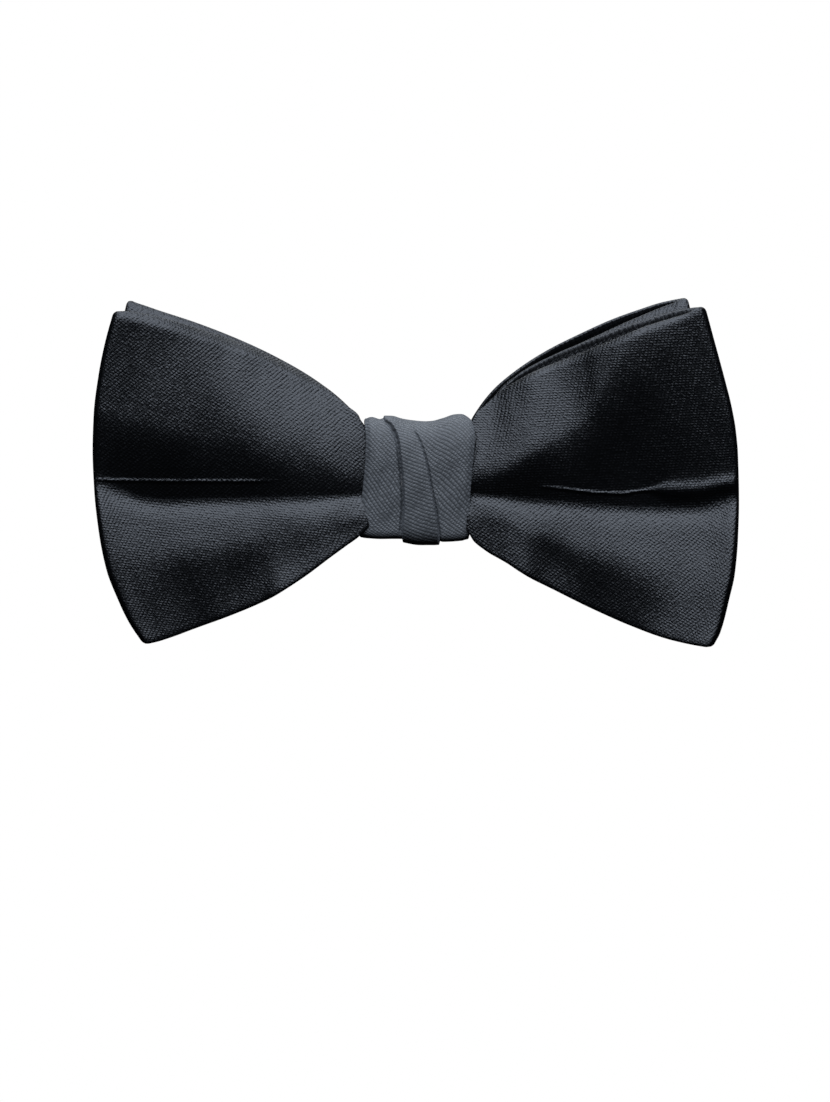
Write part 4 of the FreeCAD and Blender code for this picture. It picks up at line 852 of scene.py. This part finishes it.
# ------------------------------------------------------------------------------------------------
# knot
# ------------------------------------------------------------------------------------------------
K_TOP = curve([(-10.4, 11.3), (-9.4, 11.75), (-8.2, 11.7), (-6.7, 11.25), (-6.1, 11.4), (-4.5, 11.4), (-2.8, 11.1), (0, 10.75), (3.0, 10.6), (5.0, 11.05), (7.0, 11.7), (8.5, 11.8), (9.6, 11.4), (11, 10.7)])
K_BOT = curve([(-11, -11.1), (-9.5, -11.35), (-6, -11.45), (-2.6, -11.5), (-2.2, -11.6), (0, -11.95), (3.0, -12.1), (4.2, -12.0), (4.8, -11.9), (7, -11.75), (9.5, -11.6), (11, -11.2)])
K_LEFT = curve([(-12, -10.3), (-9.8, -10.25), (-3.7, -9.85), (2.2, -9.35), (8.3, -9.15), (11, -9.4), (12, -9.4)])
K_RIGHT = curve([(-12, 9.5), (-9.8, 9.75), (-3.7, 9.85), (2.2, 10.3), (8.0, 10.75), (10.4, 10.6), (12, 10.2)])
FOLD_A = curve([(-14, -2.6), (-10.9, -2.6), (-8.7, -2.5), (-4.8, -2.2), (-0.7, -2.4), (3.3, -2.8), (7.6, -3.4), (10.0, -4.6), (10.9, -5.9), (14, -6.6)])
FOLD_B = curve([(-14, 4.6), (-11.5, 4.3), (-6.9, 3.7), (-2.2, 2.8), (2.6, 1.9), (7.2, 0.4), (9.8, -1.3), (11.4, -2.4), (14, -3.4)])
Y_FRONT, Y_REAR = -14.15, 1.45


STRIP_H = curve([(-13, 0.95), (-8, 1.00), (-2, 1.10), (2, 1.02), (6, 0.78), (9.5, 0.60), (13, 0.55)])
RIGHT_H = curve([(-13, 0.30), (-8, 0.38), (0, 0.46), (5, 0.52), (8.2, 0.60), (9.6, 0.60), (13, 0.55)])


def knot_base(x0, psi):
    """The wrap without its folds: x0 across, psi round the loop from the front middle, upwards."""
    ce, se = np.cos(psi), np.sin(psi)
    lower = smoothstep(0.1, -0.5, se)
    strip = smoothstep(FOLD_A(-10.0) - 0.2, FOLD_A(-10.0) + 0.2, x0) * smoothstep(FOLD_B(-10.0) + 0.2, FOLD_B(-10.0) - 0.2, x0)
    e = 2.0 / (3.3 + lower * (9.0 - 5.2 * strip))
    cy = np.sign(ce) * np.abs(ce) ** e
    cz = np.sign(se) * np.abs(se) ** e
    zt, zb = K_TOP(x0), K_BOT(x0)
    z = (zt + zb) / 2 + (zt - zb) / 2 * cz
    y = (Y_FRONT + Y_REAR) / 2 - (Y_REAR - Y_FRONT) / 2 * cy
    return y, z, ce


def knot_point(w, psi):
    """A point on the wrap for w from 0 at the left edge to 1 at the right one."""
    x0 = -10.0 + 20.3 * w
    for _ in range(3):
        y, z, ce = knot_base(x0, psi)
        x0 = K_LEFT(z) + (K_RIGHT(z) - K_LEFT(z)) * w
    y, z, ce = knot_base(x0, psi)
    front = smoothstep(-0.55, 0.1, ce)
    rear = smoothstep(0.15, 0.7, -ce)
    a, b = FOLD_A(z), FOLD_B(z)
    # left panel, raised strip and right panel, with a tuck beside each fold of the strip
    on_strip = smoothstep(a - 0.10, a + 0.20, x0)
    off_strip = smoothstep(b - 0.12, b + 0.16, x0)
    lift = STRIP_H(z) * on_strip + (RIGHT_H(z) - STRIP_H(z)) * off_strip
    tuck = 0.55 * np.exp(-((x0 - a + 0.30) / 0.24) ** 2) * smoothstep(10.9, 9.6, np.abs(z) - 0.4 * (z < 0))
    tuck = tuck + 0.42 * np.exp(-((x0 - b - 0.20) / 0.17) ** 2) * smoothstep(9.2, 7.6, z)
    crown = 0.16 * np.sin(math.pi * np.clip((x0 - a) / np.maximum(b - a, 0.1), 0, 1)) * smoothstep(10, 6, z)
    swell = 0.34 * np.exp(-((x0 + 6.4) / 2.4) ** 2) + 0.22 * np.exp(-((x0 - 7.4) / 2.4) ** 2)
    soft = waves(x0, z, [(0.05, 0.9, 0.35, 0.3), (0.05, -0.6, 0.8, 2.0), (0.03, 1.5, -0.5, 1.1)])
    # the side edges roll in a little
    edge = 0.45 * smoothstep(1.1, 0.0, x0 - K_LEFT(z)) ** 2 + 0.45 * smoothstep(1.1, 0.0, K_RIGHT(z) - x0) ** 2
    out = front * (lift - tuck + crown + swell + soft - edge)
    # push the folds straight out from the loop
    ny, nz = -np.sign(ce) * np.abs(ce) ** 0.75, np.sign(np.sin(psi)) * np.abs(np.sin(psi)) ** 0.75
    n = np.hypot(ny, nz)
    crest = 0.55
    y = y + (out - crest * front) * ny / n
    z = z + (out - crest * front) * nz / n * np.where(np.abs(z) > 8, 0.85, 1.0)
    # the wrap's end overlaps itself behind
    lap = 0.42 * (1 - smoothstep(0.55, 0.95, x0))
    y = y + rear * (lap + 0.10 * np.exp(-((x0 - 0.2) / 1.6) ** 2) * np.sin(z * 2 * math.pi / 2.5))
    return np.stack([x0 + 0 * psi, y, z], -1)


def knot_columns(psi):
    """Shares of the width at which columns stand, packed close together across the two folds."""
    w = np.linspace(0, 1, 401)
    x0 = -10.0 + 20.3 * w
    for _ in range(3):
        y, z, ce = knot_base(x0, np.full_like(w, psi))
        x0 = K_LEFT(z) + (K_RIGHT(z) - K_LEFT(z)) * w
    wa = np.interp(0.0, x0 - FOLD_A(z), w)
    wb = np.interp(0.0, x0 - FOLD_B(z), w)
    h = 0.9 / 20.0
    parts = [(0.0, wa - h, 20), (wa - h, wa + h, 22), (wa + h, wb - h, 16), (wb - h, wb + h, 22), (wb + h, 1.0, 24)]
    out = [np.array([0.0])]
    for lo, hi, n in parts:
        out.append(np.linspace(lo, hi, n + 1)[1:])
    return np.concatenate(out)


def knot_wrap():
    nps, T = 300, 0.62
    psi = np.linspace(-math.pi, math.pi, nps, endpoint=False)
    W = np.stack([knot_columns(p) for p in psi], 1)
    nw = W.shape[0]
    PSI = np.repeat(psi[None, :], nw, 0)
    P = knot_point(W, PSI)
    smooth = P.copy()
    for _ in range(30):
        smooth[1:-1] = (smooth[:-2] + 2 * smooth[1:-1] + smooth[2:]) / 4
        smooth = (np.roll(smooth, 1, 1) + 2 * smooth + np.roll(smooth, -1, 1)) / 4
    dw = np.gradient(smooth, axis=0)
    dp = np.roll(smooth, -1, 1) - np.roll(smooth, 1, 1)
    N = unit(np.cross(dp, dw))
    if N[nw // 2, nps // 2, 1] > 0:
        N = -N
    E = unit(dw)
    r = T / 2
    ang = np.linspace(0, math.pi, 9)[1:-1]
    rows = []
    for a in ang[::-1]:
        c = P[0] - N[0] * r
        rows.append(c + r * (math.cos(a) * N[0] - math.sin(a) * E[0]))
    first = len(rows)
    for i in range(nw):
        rows.append(P[i])
    for a in ang:
        c = P[-1] - N[-1] * r
        rows.append(c + r * (math.cos(a) * N[-1] + math.sin(a) * E[-1]))
    for i in range(nw - 1, -1, -4):
        inner = P[i] - N[i] * T
        rows.append(inner)
    G = np.stack(rows, 0)
    ng = G.shape[0]
    # weave coordinates: each of the three panels of the front has its own direction
    step = np.linalg.norm(np.roll(P[nw // 2], -1, 0) - P[nw // 2], axis=1)
    arc = np.concatenate([[0], np.cumsum(step)])
    arc = arc - arc[nps // 2]
    W2 = np.concatenate([W, W[:, :1]], 1)
    P2 = np.concatenate([P, P[:, :1]], 1)
    uv = np.zeros((3, ng + 1, nps + 1, 2))
    part = np.zeros((ng + 1, nps + 1), int)
    for g in range(ng + 1):
        i = min(max(g - first, 0), nw - 1) if g <= first + nw + len(ang) else max(nw - 1 - 4 * (g - first - nw - len(ang)), 0)
        x = P2[i, :, 0]
        z = P2[i, :, 2]
        part[g] = (x >= FOLD_A(z)).astype(int) + (x >= FOLD_B(z)).astype(int)
        for k, degrees in enumerate((133.0, 163.0, 137.0)):
            th = math.radians(degrees)
            uv[k, g, :, 0] = x * math.cos(th) + arc * math.sin(th)
            uv[k, g, :, 1] = -x * math.sin(th) + arc * math.cos(th)
    # the wrap takes the knot satin, whose lighter base colour is painted sheen
    ob = mesh_from_grid("knot_wrap_satin", G, uv, True, True, KNOT_SATIN_PAINTED_SHEEN, pick=part[:ng, :nps])
    return ob


def knot_core():
    nw, nps, T = 24, 160, 0.32
    w = np.linspace(0.05, 0.95, nw)
    psi = np.linspace(0, 2 * math.pi, nps, endpoint=False)
    W, PSI = np.meshgrid(w, psi, indexing="ij")
    P = knot_point(W, PSI)
    dw = np.gradient(P, axis=0)
    dp = np.roll(P, -1, 1) - np.roll(P, 1, 1)
    N = unit(np.cross(dp, dw))
    if N[nw // 2, 0, 1] > 0:
        N = -N
    outer, inner = P - N * 0.72, P - N * (0.72 + T)
    G = np.concatenate([outer, inner[::-1]], 0)
    arc = np.concatenate([np.zeros((G.shape[0], 1)), np.cumsum(np.linalg.norm(np.roll(G, -1, 1) - G, axis=2), axis=1)], 1)
    A = np.concatenate([arc, arc[:1]], 0)
    X = np.repeat(np.concatenate([G[:, 0, 0], G[:1, 0, 0]])[:, None], nps + 1, 1)
    return mesh_from_grid("knot_wrap_canvas", G, np.stack([X, A], -1), True, True, CANVAS)


WRAP = knot_wrap()
KCORE = knot_core()
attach(WRAP, "bow")
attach(KCORE, "bow")
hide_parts("knot_wrap")
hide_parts("knot_wrap_interlining")


# ------------------------------------------------------------------------------------------------
# threads
# ------------------------------------------------------------------------------------------------
def waist_binding():
    """One thread wound seven times round the gathered waist."""
    turns, per = 7, 72
    t = np.linspace(0, turns * 2 * math.pi, turns * per)
    ce, se = np.cos(t), np.sin(t)
    e = 2.0 / 4.6
    y = -6.5 - 5.5 * np.sign(ce) * np.abs(ce) ** e
    z = 9.9 * np.sign(se) * np.abs(se) ** e
    x = -2.0 + 4.0 * t / t[-1] + 0.10 * np.sin(3.1 * t)
    return tube("waist_binding", np.stack([x, y, z], -1), 0.20, THREAD, sides=7, twist=5.0, strands=3)


def knot_stitches():
    parts = []
    # the wrap's rear falls away towards its top and bottom, and the stitches lie on it
    half = np.linspace(math.pi / 2 + 0.02, 3 * math.pi / 2 - 0.02, 400)
    yr, zr, _ = knot_base(np.full_like(half, 0.55), half)
    order = np.argsort(zr)
    for k, z in enumerate((-7.5, -5.0, -2.5, 0.0, 2.5, 5.0, 7.5)):
        s = np.linspace(-1, 1, 22)
        dx, dz = 0.85, 0.42
        x = 0.55 + s * dx + 0.05 * math.sin(5.1 * k)
        zz = z + s * dz + 0.12 * math.sin(2.3 * k)
        surf = np.interp(zz, zr[order], yr[order]) + 0.42 * (1 - smoothstep(0.55, 0.95, x)) + 0.1
        y = surf + 0.20 - 0.75 * np.abs(s) ** 7
        parts.append(tube("stitch_%d" % k, np.stack([x, y, zz], -1), 0.19, THREAD, sides=7, twist=5.5, strands=3))
    return join_meshes("knot_seam_stitches", parts)


def plate_stitches():
    parts = []
    for sx in (-1, 1):
        for k, off in enumerate((-0.22, 0.22)):
            s = np.linspace(-1, 1, 24)
            x = sx * (6.0 + off) + 0.10 * s
            z = 0.42 * s
            y = -0.10 - 1.45 * np.abs(s) ** 3
            parts.append(tube("tack_%d_%d" % (sx, k), np.stack([x, y, z], -1), 0.19, THREAD, sides=7, twist=5.5, strands=3))
    return join_meshes("clip_tack_stitches", parts)


for piece, node in ((waist_binding(), "waist_binding_thread"), (knot_stitches(), "knot_closing_stitches"), (plate_stitches(), "clip_sewing_stitches")):
    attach(piece, "bow")
    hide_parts(node)


# ------------------------------------------------------------------------------------------------
# clip hardware
# ------------------------------------------------------------------------------------------------
def spring(side, sx):
    r, pitch, turns, w = 1.05, 0.56, 3.5, 0.24
    height = pitch * turns
    px, py = 18.0, 2.2
    t = np.linspace(0, turns * 2 * math.pi, int(turns * 40))
    coil = np.stack([r * np.sin(t), -r * np.cos(t), -height / 2 + height * t / t[-1]], -1)
    low = np.array([-4.4, -1.83, -height / 2])
    high = np.array([-4.2, 1.98, height / 2])
    a = low + (coil[0] - low) * np.linspace(0, 0.93, 22)[:, None]
    b = coil[-1] + (high - coil[-1]) * np.linspace(0.07, 1, 22)[:, None]
    p = np.concatenate([a, coil, b], 0)
    for _ in range(3):
        p[1:-1] = (p[:-2] + 2 * p[1:-1] + p[2:]) / 4
    p = p * np.array([sx, 1, 1]) + np.array([sx * px, py, 0])
    ob = tube("torsion_coil_%s" % side, p, w, SPRING, sides=14)
    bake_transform(ob)
    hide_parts("torsion_spring_%s" % side)
    return ob


for side, sx in (("left", -1), ("right", 1)):
    spring(side, sx)

for node, mat in (("clip_base_plate", NICKEL), ("clip_jaw_left", NICKEL), ("clip_jaw_right", NICKEL), ("hinge_pin_left", PIN_STEEL), ("hinge_pin_right", PIN_STEEL)):
    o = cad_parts[node]
    for s in o.material_slots:
        s.material = mat
    if not o.material_slots:
        o.data.materials.append(mat)

# ------------------------------------------------------------------------------------------------
# the bows' pieces and flat lengths, unpacked and not used further
# ------------------------------------------------------------------------------------------------
for which in ("front", "back"):
    face, core, lining, flat_len, S = BOWS[which]

# ------------------------------------------------------------------------------------------------
# studio
# ------------------------------------------------------------------------------------------------
def plane(name, size, z, mat):
    me = bpy.data.meshes.new(name)
    s = size / 2
    me.from_pydata([(-s, -s, z), (s, -s, z), (s, s, z), (-s, s, z)], [], [(0, 1, 2, 3)])
    ob = bpy.data.objects.new(name, me)
    me.materials.append(mat)
    bpy.context.scene.collection.objects.link(ob)
    # the floor is hidden from glossy and diffuse rays, as if black cards stood round the set: it throws no light back
    # up at the cloth
    ob.visible_glossy = False
    ob.visible_diffuse = False
    return ob


plane("studio_floor", 3.0, -0.30, pale("studio_floor_paint", (0.86, 0.86, 0.86)))


def softbox(name, at, look, size, power, colour=(1, 1, 1)):
    li = bpy.data.lights.new(name, "AREA")
    li.shape = "RECTANGLE"
    li.size, li.size_y = size
    li.energy = power
    li.color = colour
    ob = bpy.data.objects.new(name, li)
    ob.location = at
    d = Vector(look) - Vector(at)
    ob.rotation_euler = d.to_track_quat("-Z", "Y").to_euler()
    bpy.context.scene.collection.objects.link(ob)
    return ob


def aim(elevation, distance, azimuth=0.0):
    e, z = math.radians(elevation), math.radians(azimuth)
    return (distance * math.cos(e) * math.sin(z), -distance * math.cos(e) * math.cos(z), distance * math.sin(e))


softbox("key_overhead", aim(55, 2.2), (0, 0, 0), (3.2, 2.2), 80.0, (0.84, 0.90, 1.0))
softbox("hair_light", aim(60, 2.2, 180), (0, 0, 0), (2.2, 1.4), 22.0, (0.90, 0.95, 1.0))

world = bpy.data.worlds.new("studio")
bpy.context.scene.world = world
world.use_nodes = True
wt = world.node_tree
wt.nodes.clear()
wo = wt.nodes.new("ShaderNodeOutputWorld")
mix = wt.nodes.new("ShaderNodeMixShader")
lp = wt.nodes.new("ShaderNodeLightPath")
seen = wt.nodes.new("ShaderNodeBackground")
seen.inputs["Color"].default_value = (1.0, 1.0, 1.0, 1)
seen.inputs["Strength"].default_value = 1.0
lit = wt.nodes.new("ShaderNodeBackground")
lit.inputs["Color"].default_value = (0.9, 0.95, 1.0, 1)
lit.inputs["Strength"].default_value = 0.004
wt.links.new(lp.outputs["Is Camera Ray"], mix.inputs[0])
wt.links.new(lit.outputs[0], mix.inputs[1])
wt.links.new(seen.outputs[0], mix.inputs[2])
wt.links.new(mix.outputs[0], wo.inputs["Surface"])

scene = bpy.context.scene
scene.view_settings.view_transform = "Standard"
scene.view_settings.look = "None"
scene.view_settings.exposure = 0.0
scene.view_settings.gamma = 1.0

cam_data = bpy.data.cameras.new("camera")
cam = bpy.data.objects.new("camera", cam_data)
scene.collection.objects.link(cam)
DIST = 1.6
# the frame is 830 x 1102 with 0.1855 mm to each of its units at the bow's front
cam.location = (-0.0002, -DIST, (478 - 551) * 0.1855 * MM)
cam.rotation_euler = (math.pi / 2, 0, 0)
cam_data.sensor_width = 36.0
cam_data.sensor_fit = "AUTO"
cam_data.lens = 36.0 * (DIST - 0.0125) / (1102 * 0.1855 * MM)
cam_data.clip_start = 0.01
scene.camera = cam
